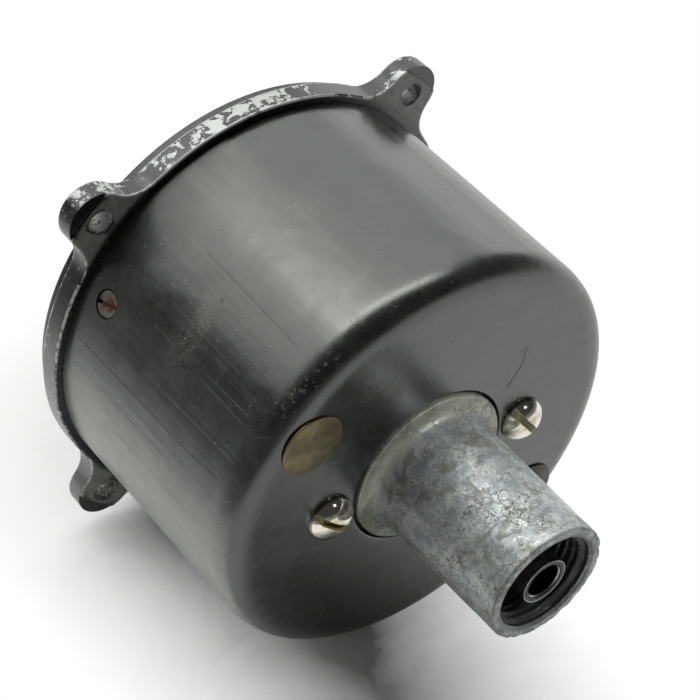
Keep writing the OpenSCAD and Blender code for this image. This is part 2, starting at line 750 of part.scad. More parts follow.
mounting_ring();
glass_gasket();
dial_glass();
spacer_ring();
dial_plate();
dial_screws();
stop_pins();
case();
side_screws();
drive_housing();
neck_gasket();
rear_screws();
access_plugs();
front_bush();
rear_bush();
oil_felt();
frame_pillars();
front_bridge();
bridge_screws();
front_jewel();
hairspring_stud();
flux_ring();
drive_shaft();
thrust_washer();
retaining_clip();
magnet_hub();
magnet();
pivot_jewel();
spindle();
drag_cup();
cup_hub();
spring_collet();
hairspring();
pointer_hub();
pointer();
pointer_cap();
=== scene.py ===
# Looks of a round panel tachometer that lies on its side, with its drive neck towards the camera.
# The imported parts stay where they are. Worn, rounded and threaded pieces are modelled here.
import json
import math

import bmesh
import bpy
import numpy as np
from mathutils import Matrix, Vector


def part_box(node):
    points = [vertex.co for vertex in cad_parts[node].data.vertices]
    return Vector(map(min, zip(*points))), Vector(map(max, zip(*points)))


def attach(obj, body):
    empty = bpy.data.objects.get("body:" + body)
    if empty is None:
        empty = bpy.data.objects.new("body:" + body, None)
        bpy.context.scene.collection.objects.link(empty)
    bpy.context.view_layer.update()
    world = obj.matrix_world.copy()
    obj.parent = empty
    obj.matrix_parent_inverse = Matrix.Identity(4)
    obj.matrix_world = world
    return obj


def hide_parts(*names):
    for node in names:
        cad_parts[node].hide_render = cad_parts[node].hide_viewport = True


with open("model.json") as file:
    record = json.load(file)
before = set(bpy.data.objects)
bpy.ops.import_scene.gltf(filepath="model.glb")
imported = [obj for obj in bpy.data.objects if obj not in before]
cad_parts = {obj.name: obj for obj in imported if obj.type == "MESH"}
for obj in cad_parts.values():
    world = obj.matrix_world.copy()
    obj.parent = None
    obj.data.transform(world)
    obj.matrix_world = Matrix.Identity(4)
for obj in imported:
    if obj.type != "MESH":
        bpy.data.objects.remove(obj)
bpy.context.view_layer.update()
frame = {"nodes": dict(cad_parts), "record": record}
nodes = frame["nodes"]
mm = 0.001
randomPicks = np.random.default_rng(7)


# Camera: stands behind the instrument and above it, a little tilted to one side
camera = {
    "place": (166.64 * mm, 227.73 * mm, 256.06 * mm),
    "aim": (-10.64 * mm, 18.24 * mm, -7.38 * mm),
    "tilt": 4.95,       # degrees, anticlockwise
    "lens": 110.5,      # on a sensor 36 mm wide
}


def tuned(thing, **values):
    for key, value in values.items():
        setattr(thing, key, value)
    return thing


def addObject(name, data):
    made = bpy.data.objects.new(name, data)
    bpy.context.scene.collection.objects.link(made)
    return made


def aimed(place, target):
    # Stands at a place with its -Z towards the target.
    turn = (Vector(target) - Vector(place)).to_track_quat("-Z", "Y").to_matrix().to_4x4()
    return Matrix.Translation(place) @ turn


def turnedBy(degrees, axis):
    return Matrix.Rotation(math.radians(degrees), 4, axis)


cameraObject = addObject("camera", tuned(bpy.data.cameras.new("camera"), lens=camera["lens"],
                                         sensor_width=36, clip_start=0.01, clip_end=50))
cameraObject.matrix_world = aimed(camera["place"], camera["aim"]) @ turnedBy(camera["tilt"], "Z")
bpy.context.scene.camera = cameraObject
print("camera stands")


# Meshes: every new piece is a grid of rows, each row a closed loop round the instrument's axis

def quadMesh(name, points, quads):
    mesh = bpy.data.meshes.new(name)
    mesh.from_pydata(points.reshape(-1, 3), [], quads.reshape(-1, 4).tolist())
    return mesh


def loopsToMesh(name, rows, masks=None, wrap=True):
    # Joins each loop to the next with quads; with wrap the last loop also joins the first.
    # Coincident points at a pole are merged, and the faces are turned outwards.
    count, around = rows.shape[:2]
    index = np.arange(count * around).reshape(count, around)
    low = index if wrap else index[:-1]
    high = np.roll(index, -1, 0) if wrap else index[1:]
    mesh = quadMesh(name, rows, np.stack([low, np.roll(low, -1, 1), np.roll(high, -1, 1), high], -1))
    for key, values in (masks or {}).items():
        spread = np.broadcast_to(values, (count, around)).astype(np.float32)
        mesh.attributes.new(key, "FLOAT", "POINT").data.foreach_set("value", spread.ravel())
    return tidyMesh(mesh)


def tidyMesh(mesh, smoothAngle=40):
    work = bmesh.new()
    work.from_mesh(mesh)
    bmesh.ops.remove_doubles(work, verts=work.verts, dist=1e-6)
    bmesh.ops.dissolve_degenerate(work, edges=work.edges, dist=1e-7)
    bmesh.ops.recalc_face_normals(work, faces=work.faces)
    work.to_mesh(mesh)
    work.free()
    mesh.shade_smooth()
    mesh.set_sharp_from_angle(angle=math.radians(smoothAngle))
    return mesh


def addPiece(name, meshes, material, body="housing", replaced=()):
    # One object from one or more closed meshes, at the origin.
    whole = bmesh.new()
    for mesh in meshes:
        whole.from_mesh(mesh)
    joined = bpy.data.meshes.new(name)
    whole.to_mesh(joined)
    whole.free()
    joined.materials.append(material)
    piece = addObject(name, joined)
    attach(piece, body)
    if replaced:
        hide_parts(*replaced)
    return piece


def cutMesh(mesh, cutters, smoothAngle=40):
    # Takes the closed cutter meshes out of a closed mesh.
    scratch = addObject("scratch", mesh)
    knives = [addObject("knife", cutter) for cutter in cutters]
    for knife in knives:
        tuned(scratch.modifiers.new("cut", "BOOLEAN"), operation="DIFFERENCE", solver="EXACT", object=knife)
    bpy.context.view_layer.update()
    result = bpy.data.meshes.new_from_object(scratch.evaluated_get(bpy.context.evaluated_depsgraph_get()))
    for used in knives + [scratch]:
        bpy.data.objects.remove(used)
    return tidyMesh(result, smoothAngle)


def roundedProfile(corners, gap, closed=True):
    # Rows of (radius, y, edge) along a polygon of (radius, y, rounding).
    # Each corner is a quadratic curve between two points, one rounding away on each side.
    # Edge is 1 in the middle of a corner and falls to 0 over a millimetre.
    points = np.array([c[:2] for c in corners], float)
    rounds = np.array([c[2] for c in corners], float)
    before = np.roll(points, 1, 0) - points
    after = np.roll(points, -1, 0) - points
    if not closed:
        before[0] = before[-1]
        after[-1] = after[0]
        rounds[[0, -1]] = 0
    toBefore = before / np.maximum(np.linalg.norm(before, axis=1, keepdims=True), 1e-9)
    toAfter = after / np.maximum(np.linalg.norm(after, axis=1, keepdims=True), 1e-9)
    start = points + toBefore * rounds[:, None]
    end = points + toAfter * rounds[:, None]
    parts = []
    for i in range(len(corners)):
        if rounds[i] > 0:
            steps = int(np.clip(rounds[i] / (0.2 * mm), 4, 16))
            t = np.linspace(0, 1, steps + 1)[:, None]
            curve = (1 - t) ** 2 * start[i] + 2 * t * (1 - t) * points[i] + t ** 2 * end[i]
            parts.append(np.column_stack([curve, 1 - 0.5 * np.abs(2 * t[:, 0] - 1)]))
        else:
            parts.append(np.array([[points[i, 0], points[i, 1], 0.0]]))
        if closed or i < len(corners) - 1:
            target = start[(i + 1) % len(corners)]
            length = np.linalg.norm(target - end[i])
            steps = max(int(length / gap), 1)
            t = (np.arange(1, steps) / steps)[:, None]
            line = end[i] * (1 - t) + target * t
            nearest = np.minimum(t[:, 0], 1 - t[:, 0]) * length
            parts.append(np.column_stack([line, 0.5 * np.clip(1 - nearest / mm, 0, 1)]))
    return np.concatenate([part for part in parts if len(part)])


def revolve(profile, around):
    # Loops at x = r cos a, z = r sin a, one for each row of the profile.
    angle = np.linspace(0, 2 * np.pi, around, endpoint=False)
    radius = profile[:, :1]
    return np.stack([radius * np.cos(angle), np.broadcast_to(profile[:, 1:2], (len(profile), around)),
                     radius * np.sin(angle)], -1)


def waves(places, length, amount, count=7):
    # Uneven height: the sum of sine waves of about one length in random directions.
    directions = randomPicks.normal(size=(count, 3))
    directions /= np.linalg.norm(directions, axis=1, keepdims=True)
    turns = 2 * np.pi / (length * randomPicks.uniform(0.6, 1.6, count))
    phases = randomPicks.uniform(0, 2 * np.pi, count)
    return amount * np.sin(places @ (directions * turns[:, None]).T + phases).sum(-1) / math.sqrt(count)


def pushOut(rows, height):
    # Moves points away from the axis by a height.
    radius = np.maximum(np.hypot(rows[..., 0], rows[..., 2]), 1e-9)
    moved = rows.copy()
    moved[..., ::2] *= (1 + height / radius)[..., None]
    return moved


def placed(mesh, matrix):
    mesh.transform(matrix)
    return mesh


def spun(name, profile, around, matrix):
    # A solid turned from a profile that starts and ends on the axis, and then placed.
    return placed(loopsToMesh(name, revolve(np.array(profile), around), wrap=False), matrix)


def rodMesh(radius, low, high, matrix):
    # A plain rod along Y, for cutting holes.
    return spun("rod", [(0, low), (radius, low), (radius, high), (0, high)], 64, matrix)


# A flat plate: an outline in the X-Z plane, from y = low to y = high, each face fanned from its middle
def plateMesh(name, outline, low, high):
    outline = np.asarray(outline, float)
    middle = np.broadcast_to(outline.mean(0), outline.shape)
    rows = [(middle, low), (outline, low), (outline, high), (middle, high)]
    loops = np.stack([np.insert(flat, 1, y, axis=1) for flat, y in rows])
    return loopsToMesh(name, loops, wrap=False)


# Shader helpers: a colour is a field or (red, green, blue) as it looks in a picture, 0 to 255

def seenColour(red, green, blue):
    shares = [c / 255 for c in (red, green, blue)]
    return tuple(s / 12.92 if s < 0.04045 else ((s + 0.055) / 1.055) ** 2.4 for s in shares) + (1.0,)


# What a node gives out. Arithmetic on fields adds the nodes that work it out.
class Field:
    def __init__(self, node, output=0):
        self.socket = node.outputs[output]
        self.tree = node.id_data

    __add__ = __radd__ = lambda self, other: maths("ADD", self, other)
    __mul__ = __rmul__ = lambda self, other: maths("MULTIPLY", self, other)
    __sub__ = lambda self, other: maths("SUBTRACT", self, other)
    __rsub__ = lambda self, other: maths("SUBTRACT", other, self)
    __truediv__ = lambda self, other: maths("DIVIDE", self, other)
    __pow__ = lambda self, other: maths("POWER", self, other)
    __abs__ = lambda self: maths("ABSOLUTE", self)


def join(value, socket):
    if isinstance(value, Field):
        value.tree.links.new(value.socket, socket)
    else:
        socket.default_value = value


def addNode(kind, inputs=(), tree=None, **settings):
    # The inputs are keyed by name or number. Without a tree, the node goes where its first field is.
    inputs = dict(inputs)
    if tree is None:
        tree = next(value.tree for value in inputs.values() if isinstance(value, Field))
    made = tuned(tree.nodes.new("ShaderNode" + kind), **settings)
    for key, value in inputs.items():
        join(value, made.inputs[key])
    return made


def maths(operation, *values):
    return Field(addNode("Math", enumerate(values), operation=operation))


def largest(total, *values):
    for value in values:
        total = maths("MAXIMUM", total, value)
    return total


def hypotenuse(a, b):
    return maths("SQRT", a ** 2 + b ** 2)


def clamped(value):
    return Field(addNode("Clamp", {"Value": value}))


def vectorMaths(operation, a, b, output="Vector"):
    keys = (0, 3 if operation == "SCALE" else 1)
    return Field(addNode("VectorMath", zip(keys, (a, b)), operation=operation), output)


def spanned(value, low, high, outLow=0.0, outHigh=1.0):
    # 0 below low, 1 above high, with a smooth step between.
    keys = ("Value", "From Min", "From Max", "To Min", "To Max")
    return Field(addNode("MapRange", zip(keys, (value, low, high, outLow, outHigh)),
                         interpolation_type="SMOOTHSTEP"))


def between(value, low, high, soft):
    # 1 from low to high, and 0 beyond a soft step on each side.
    half = (high - low) / 2
    return spanned(abs(value - (low + high) / 2), half + soft, half)


def blend(factor, a, b):
    a, b = (seenColour(*colour) if isinstance(colour, tuple) else colour for colour in (a, b))
    return Field(addNode("Mix", {0: factor, 6: a, 7: b}, data_type="RGBA"), 2)


def layered(base, *layers):
    # Lays colours over one another; each layer is (mask, colour).
    for mask, colour in layers:
        base = blend(mask, base, colour)
    return base


def noise(vector, scale, detail=4.0, roughness=0.55, distortion=0.0):
    keys = ("Vector", "Scale", "Detail", "Roughness", "Distortion")
    return Field(addNode("TexNoise", zip(keys, (vector, scale, detail, roughness, distortion))), "Fac")


def warped(vector, scale, detail, amount):
    noisy = addNode("TexNoise", {"Vector": vector, "Scale": scale, "Detail": detail})
    return blend(amount, vector, Field(noisy, "Color"))


def stretched(vector, scale):
    # Coordinates with each direction multiplied by its own number.
    return Field(addNode("Mapping", {"Vector": vector, "Scale": scale}))


def split(vector):
    parts = addNode("SeparateXYZ", {"Vector": vector})
    return [Field(parts, key) for key in "XYZ"]


def polar(here):
    # Distance from the axis, angle round it in degrees from +X towards +Z, and place along it.
    x, y, z = split(here)
    return hypotenuse(x, z), maths("ARCTAN2", z, x) * (180 / math.pi), y


def attribute(here, name="edge"):
    return Field(addNode("Attribute", tree=here.tree, attribute_name=name), "Fac")


def makeGroup(name, build, **kinds):
    # A node group with named inputs of those kinds, which gives one mask.
    tree = bpy.data.node_groups.new(name, "ShaderNodeTree")
    for key, kind in kinds.items():
        tree.interface.new_socket(key, in_out="INPUT", socket_type="NodeSocket" + kind)
    tree.interface.new_socket("Mask", in_out="OUTPUT", socket_type="NodeSocketFloat")
    given = tree.nodes.new("NodeGroupInput")
    mask = tree.nodes.new("NodeGroupOutput")
    join(build(*[Field(given, key) for key in kinds]), mask.inputs[0])
    return tree


def useGroup(group, *values):
    return Field(addNode("Group", enumerate(values), node_tree=group))


def buildFlakes(vector, scale, level):
    # Angular patches: random cells and cloudy noise added up, cut off sharply at a level.
    cells = addNode("TexVoronoi", {"Vector": warped(vector, scale, 6.0, 0.006), "Scale": scale * 3.4})
    single = Field(addNode("SeparateColor", {"Color": Field(cells, "Color")}))
    total = single * 0.19 + noise(vector, scale, 8.0, 0.7, 0.2)
    limit = 0.935 - level * 0.6
    return spanned(total, limit, limit + 0.02)


def buildSpecks(vector, scale, amount):
    # Small dots: the middles of those cells whose random number is under the amount.
    cells = addNode("TexVoronoi", {"Vector": vector, "Scale": scale})
    picked = addNode("SeparateColor", {"Color": Field(cells, "Color")})
    size = Field(picked, 1) * 0.2 + 0.06
    dot = spanned(Field(cells, "Distance"), size, size * 0.5)
    return maths("LESS_THAN", Field(picked), amount) * dot


def buildScratches(vector, scale, width):
    # Thin lines where a noise passes its middle value, in patches.
    thin = spanned(abs(noise(vector, scale, 2.0, 0.5, 0.6) - 0.5), width, 0.0)
    return thin * spanned(noise(vector, scale * 0.23, 3.0), 0.5, 0.66)


def buildScore(place, start, end, width):
    # A thin mark near the straight line from start to end; all three are places on a flat map.
    # The nearest point lies at the share dot(place - start, way) / dot(way, way), kept from 0 to 1.
    way = vectorMaths("SUBTRACT", end, start)
    offset = vectorMaths("SUBTRACT", place, start)
    share = clamped(vectorMaths("DOT_PRODUCT", offset, way, "Value")
                    / vectorMaths("DOT_PRODUCT", way, way, "Value"))
    apart = vectorMaths("SUBTRACT", offset, vectorMaths("SCALE", way, share))
    return spanned(vectorMaths("LENGTH", apart, (0, 0, 0), "Value"), width, width * 0.35)


flakes = makeGroup("paintFlakes", buildFlakes, Vector="Vector", Scale="Float", Level="Float")
specks = makeGroup("specks", buildSpecks, Vector="Vector", Scale="Float", Amount="Float")
scratches = makeGroup("scratches", buildScratches, Vector="Vector", Scale="Float", Width="Float")
score = makeGroup("scoreLine", buildScore, Vector="Vector", Start="Vector", End="Vector", Width="Float")


def scored(flat, marks):
    # The strongest of several score lines; each mark is (start, end, width, strength) on the map.
    total = 0.0
    for start, end, width, strength in marks:
        total = largest(total, useGroup(score, flat, (*start, 0), (*end, 0), width) * strength)
    return total


def startMaterial(name):
    # A material and the coordinates of the piece that it is on.
    material = tuned(bpy.data.materials.new(name), use_nodes=True)
    return material, Field(addNode("TexCoord", tree=material.node_tree), "Object")


def finished(material, bump, **inputs):
    # Joins the inputs of the Principled shader. The bump is (height, strength, distance) or None.
    if bump:
        inputs["Normal"] = Field(addNode("Bump", zip(("Height", "Strength", "Distance"), bump)))
    for key, value in inputs.items():
        join(value, material.node_tree.nodes["Principled BSDF"].inputs[key.replace("_", " ")])
    return material


def plainMetal(name, colour, dark, roughness, grain=900.0, metallic=1.0):
    # A metal with cloudy tarnish, fine grain and small dark specks.
    material, here = startMaterial(name)
    fine = noise(here, grain * 3, 3.0, 0.7)
    spots = useGroup(specks, here, grain, 0.12)
    tarnish = spanned(noise(here, grain * 0.25, 5.0, 0.6), 0.38, 0.68)
    return finished(material, (fine - spots * 0.5, 0.15, 0.02 * mm), Metallic=metallic,
                    Base_Color=blend(largest(tarnish, spots), colour, dark),
                    Roughness=fine * 0.08 + tarnish * 0.15 + roughness)


# Mounting ring: black paint, flaked to bright alloy where it has been knocked
ring = {
    "paint": (24, 25, 26),
    "rubbed": (54, 55, 54),
    # pale: a painted reflection of the bright floor, along the ring's lower side
    "pale": (140, 142, 136),      # along its lower side
    "alloy": (220, 223, 223),
    "dullAlloy": (192, 193, 188),
    "turned": (164, 166, 158),
    "holeWall": (98, 90, 68),
    "rounding": 0.35 * mm,
    "chamfer": 0.15 * mm,
    "waves": (14 * mm, 0.05 * mm),      # length and height
    "lipStep": 1.3 * mm,
    "windowLap": 1.5 * mm,
    "earRadius": 5.5 * mm,
    "earFillet": 6 * mm,
    "turnedReach": 3.15 * mm,   # past the holes' centres
    "turnedDepth": 0.4 * mm,
    "flaked": ((46, 54, 0.32), (58, 69, 0.31), (71, 88, 0.33), (90, 99, 0.4), (102, 108, 0.22),
               (128, 135, 0.3), (8, 20, 0.16)),   # from and to, degrees from +X towards +Z, and how much
}
ringLow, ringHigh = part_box("mounting_ring")
caseLow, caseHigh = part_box("case")
ringRadius = ringHigh.x
caseRadius = caseHigh.x
plateRear = caseLow.y
caseRear = caseHigh.y
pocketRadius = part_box("dial_plate")[1].x + 0.1 * mm
boltPattern = next(m for m in frame["record"]["mounts"] if m["name"] == "panel_bolts")["dims"]
holeOffset = boltPattern["spacing_x_mm"] / 2 * mm     # of each panel hole, along X and along Z
holeRadius = boltPattern["hole_r_mm"] * mm
holeCircle = holeOffset * math.sqrt(2)


# Flakes lie on the outward faces only, thickest in one stretch, with worn lines along the edges.
# The rear faces of the ears are turned, dull grey, and the walls of the holes are bare.
def paintMaterial():
    material, here = startMaterial("ringPaint")
    edge, rim, rear = (attribute(here, key) for key in ("edge", "rim", "rear"))
    radius, angle, along = polar(here)
    x, _, z = split(here)
    onEars = spanned(radius, ringRadius + 0.8 * mm, ringRadius + 1.6 * mm)
    zone = 0.0
    for low, high, amount in ring["flaked"]:
        zone = largest(zone, between(angle, low, high, 2) * amount)
    level = spanned(abs(along - plateRear / 2), 1 * mm, 2 * mm) * 0.05 + 0.2
    level = zone + level - spanned(along, 0.4 * mm, 0.0, 0.0, 0.12)
    lineLevel = zone * 0.6 + spanned(along, 0.0, 0.4 * mm, 0.38, 0.58)
    lines = useGroup(flakes, here, 420.0, lineLevel) * spanned(edge, 0.44, 0.56)
    patches = useGroup(flakes, here, 270.0, level) * rim
    specked = useGroup(flakes, here, 900.0, 0.3) * rim * onEars
    bare = largest(patches, lines, specked * 0.6) * spanned(along, -0.3 * mm, 0.0)
    dust = noise(here, 900.0)
    fine = noise(here, 3000.0, 4.0, 0.7)
    dulled = rear * spanned(radius, ringRadius - 0.5 * mm, ringRadius + 0.8 * mm)
    # The lower side is painted pale: a painted reflection of the bright floor below it.
    lower = between(angle, -120, 4, 16) * rim
    apart = hypotenuse(abs(x) - holeOffset, abs(z) - holeOffset)
    inHole = spanned(apart, holeRadius + 0.06 * mm, holeRadius + 0.02 * mm)
    grey = blend(spanned(dust, 0.35, 0.7, 0.1, 0.4), ring["turned"], ring["rubbed"])
    stain = blend(spanned(noise(here, 700.0), 0.4, 0.6), ring["holeWall"], ring["paint"])
    metal = blend(noise(here, 1500.0), ring["alloy"], ring["dullAlloy"])
    base = layered(ring["paint"], (spanned(dust, 0.5, 0.75), ring["rubbed"]), (lower * 0.72, ring["pale"]),
                   (dulled, grey), (inHole, stain), (bare, metal))
    rough = dust * 0.24 + dulled * 0.2 + inHole * 0.3 + bare * 0.15 + 0.16
    return finished(material, (fine * 0.3 - bare, 0.5, 0.05 * mm), Base_Color=base, Metallic=bare * 0.3,
                    Roughness=rough, IOR=1.68)


def earedOutline():
    # Points and outward directions of the ring's outline with its four ears, in the X-Z plane.
    # It is made of arcs: ring, hollow fillet, ear, hollow fillet and ring, once for each ear.
    fillet = ring["earFillet"]
    far = ringRadius + fillet
    side = ring["earRadius"] + fillet
    turn = math.acos((far ** 2 + holeCircle ** 2 - side ** 2) / (2 * far * holeCircle))
    centre = np.array([far * math.cos(turn), -far * math.sin(turn)])
    toEar = math.atan2(-centre[1], holeCircle - centre[0])
    ringArc = np.linspace(-math.pi / 4, -turn, 31)[1:]
    filletArc = np.linspace(math.pi - turn, toEar, 14)[1:]
    earArc = np.linspace(toEar - math.pi, 0, 25)[1:]

    def arc(angles, middle, radius, sign=1):
        away = np.column_stack([np.cos(angles), np.sin(angles)])
        return np.column_stack([np.array(middle) + away * radius, away * sign])

    lower = np.concatenate([arc(ringArc, (0, 0), ringRadius), arc(filletArc, centre, fillet, -1),
                            arc(earArc, (holeCircle, 0), ring["earRadius"])])
    upper = lower[-2::-1] * [1, -1, 1, -1]
    quarter = np.concatenate([lower, upper, arc(np.array([math.pi / 4]), (0, 0), ringRadius)])
    parts = []
    for k in range(4):
        turnBy = math.radians(45 + 90 * k)
        spin = np.array([[math.cos(turnBy), math.sin(turnBy)], [-math.sin(turnBy), math.cos(turnBy)]])
        parts.append(np.hstack([quarter[:, :2] @ spin, quarter[:, 2:] @ spin]))
    whole = np.concatenate(parts)
    return whole[:, :2], whole[:, 2:]


def ringMesh():
    # Closed profile swept round the axis. Inside the base radius a row is a circle.
    # Outside it, a row goes in steps from that circle to the eared outline.
    outline, outwards = earedOutline()
    edge = ring["rounding"]
    front = ringLow.y
    lip = ringRadius - ring["lipStep"]
    skirt = caseRadius - 1.7 * mm
    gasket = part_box("glass_gasket")[0].y
    window = pocketRadius - ring["windowLap"]
    profile = roundedProfile([
        (window, front, 0.15 * mm), (lip, front, 0.3 * mm), (lip, 0, 0.1 * mm),
        (ringRadius, 0, edge), (ringRadius, plateRear, edge), (skirt, plateRear, 0.1 * mm),
        (skirt, ringHigh.y, 0.2 * mm), (pocketRadius, ringHigh.y, 0.2 * mm),
        (pocketRadius, gasket, 0.1 * mm), (window, gasket, 0.1 * mm)], 0.5 * mm)
    radius, y, worn = profile.T
    base = np.where(y < plateRear / 2, lip, skirt)
    share = np.clip((radius - base) / (ringRadius - edge - base), 0, 1)
    inset = np.clip(ringRadius - radius, 0, edge)
    share = np.where((y < -0.01 * mm) | (y > plateRear + 0.01 * mm), 0, share)
    angle = np.arctan2(outline[:, 1], outline[:, 0])
    circle = np.minimum(radius, np.where(share > 0, base, radius))[:, None, None] * np.stack(
        [np.cos(angle), np.sin(angle)], -1)
    eared = outline - inset[:, None, None] * outwards
    flat = circle * (1 - share[:, None, None]) + eared * share[:, None, None]
    rows = np.stack([flat[..., 0], np.broadcast_to(y[:, None], flat.shape[:2]), flat[..., 1]], -1)
    onRim = (radius > ringRadius - edge - 0.01 * mm) * (share > 0)
    rows = pushOut(rows, np.where(onRim[:, None], waves(rows, *ring["waves"]), 0))
    rim = np.clip((radius - ringRadius + edge) / (0.6 * edge), 0, 1) * onRim
    rear = (y > plateRear - 0.06 * mm) * (y < plateRear + 0.01 * mm) * (radius > skirt + 0.2 * mm)
    mesh = loopsToMesh("ringBlank", rows, {"edge": worn[:, None], "rim": rim[:, None],
                                           "rear": rear[:, None]})
    chamfer, over = ring["chamfer"], 2 * mm
    wide = holeRadius + chamfer
    drill = [(0, -over), (wide, -over), (wide, 0), (holeRadius, chamfer), (holeRadius, plateRear - chamfer),
             (wide, plateRear), (wide, plateRear + over), (0, plateRear + over)]
    knives = [spun("drill", drill, 48, Matrix.Translation((i * holeOffset, 0, j * holeOffset)))
              for i, j in ((1, 1), (-1, 1), (-1, -1), (1, -1))]
    near, low = holeCircle + ring["turnedReach"], plateRear - ring["turnedDepth"]
    far, high = near + 8 * mm, low + over
    knives.append(loopsToMesh("washer", revolve(np.array([(near, low), (far, low), (far, high),
                                                          (near, high)]), 240)))
    return cutMesh(mesh, knives)


addPiece("ringBody", [ringMesh()], paintMaterial(), replaced=["mounting_ring"])
print("ring made")


# Case: satin black paint over a drawn drum, scuffed along its length, with tan wear and dust
case = {
    "paint": (14, 15, 17),
    "gleam": (0.965, 1.0, 0.93, 1.0),     # tint of what the paint mirrors
    "worn": (146, 134, 106),
    "dust": (146, 152, 142),
    # worked: pale rubbed paint, which on the underside is also a painted reflection of the bright floor
    "worked": (190, 196, 186),
    "powder": (138, 132, 112),
    "bright": (196, 190, 176),
    # Score lines on the unrolled side: angle in degrees and y in mm at each end, width and strength
    "paleLines": (((25.6, 12.6), (25.0, 29), 0.18, 0.22), ((25.0, 29), (25.7, 47), 0.2, 0.4),
                  ((34.4, 34), (34.2, 46), 0.16, 0.42), ((36.2, 35), (36.5, 46), 0.15, 0.36),
                  ((35.3, 20.7), (35.5, 27.2), 0.15, 0.3), ((55.6, 14), (54.8, 47), 0.22, 0.2),
                  ((48.1, 21), (49.8, 43), 0.2, 0.12), ((49.3, 25), (47.9, 46), 0.2, 0.15),
                  ((46.6, 28), (46.0, 46), 0.18, 0.16), ((30.2, 22), (30.4, 40), 0.16, 0.16),
                  ((22.4, 16), (22.8, 34), 0.16, 0.14), ((39.0, 36), (39.3, 47), 0.15, 0.2),
                  ((78.9, 32.1), (82.8, 33.4), 0.2, 0.2), ((82.8, 33.4), (86.8, 36.2), 0.2, 0.2),
                  ((49.1, 50.4), (49.4, 50.9), 0.35, 1.0), ((-7.2, 10.8), (-14.2, 16.1), 0.5, 0.2)),
    "darkLines": (((17.4, 6.5), (18.1, 35.5), 0.3, 0.6), ((18.1, 35.5), (19.4, 46), 0.3, 0.5),
                  ((10.4, 6.2), (11.1, 33), 0.3, 0.4), ((56.2, 20), (55.4, 45), 0.25, 0.3),
                  ((3.0, 20), (3.4, 44), 0.35, 0.3), ((14.2, 22), (14.0, 46), 0.25, 0.3)),
    "faceLines": (((-18.8, 17.3), (-18.2, 13.2), 0.26, 0.7), ((-18.2, 13.2), (-15.6, 9.5), 0.32, 0.9),
                  ((-18.8, 17.3), (-17.6, 16.6), 0.35, 0.5)),     # X and Z in mm on the rear face
    "wall": 1.6 * mm,
    "corner": 5.2 * mm,
    "collarHole": 15.1 * mm,
    "sideWaves": (45 * mm, 0.05 * mm),      # length and height
    "faceWaves": (40 * mm, 0.05 * mm),
    "grainDepth": 0.01 * mm,
    "dentDepth": 0.24 * mm,
    "sideHole": 2.5 * mm,
    "screwHole": 2.2 * mm,
    "plugHole": 4.1 * mm,
}
sideScrew = {"angles": (30, 150, 270)}    # degrees, from +X towards +Z
rearScrew = {
    "headRadius": 4.2 * mm,
    "shankRadius": 1.95 * mm,
    "slotAngles": (53, 35),     # of the screw at -X and the one at +X, degrees
    "slotWidth": 1.1 * mm,
    "slotDepth": 1.5 * mm,
    "rounding": 0.09 * mm,
}
plug = {
    "capRadius": 5.55 * mm,
    "stemRadius": 4 * mm,
    "rimHeight": 0.35 * mm,
    "bend": 0.25 * mm,
    "waves": (6 * mm, 0.03 * mm),       # length and height
    "brass": (138, 128, 96),
    "olive": (98, 94, 72),
    "stain": (62, 54, 38),
    "scrape": (180, 172, 134),
    # rim: worn brass at the cap's edge, also a painted highlight
    "rim": (152, 124, 84),
    "paint": (62, 62, 60),    # the plug at -X still has its black paint
}
screwLow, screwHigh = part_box("rear_screws")
plugLow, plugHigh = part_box("access_plugs")
screwReach = screwHigh.x - rearScrew["headRadius"]
plugPlaces = [(plugHigh.x - plug["capRadius"], plugHigh.z - plug["capRadius"]),
              (plugLow.x + plug["capRadius"], plugLow.z + plug["capRadius"])]
seatGap = 0.02 * mm      # between the rear face and what sits on it
sideScrewY = (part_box("side_screws")[0].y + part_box("side_screws")[1].y) / 2
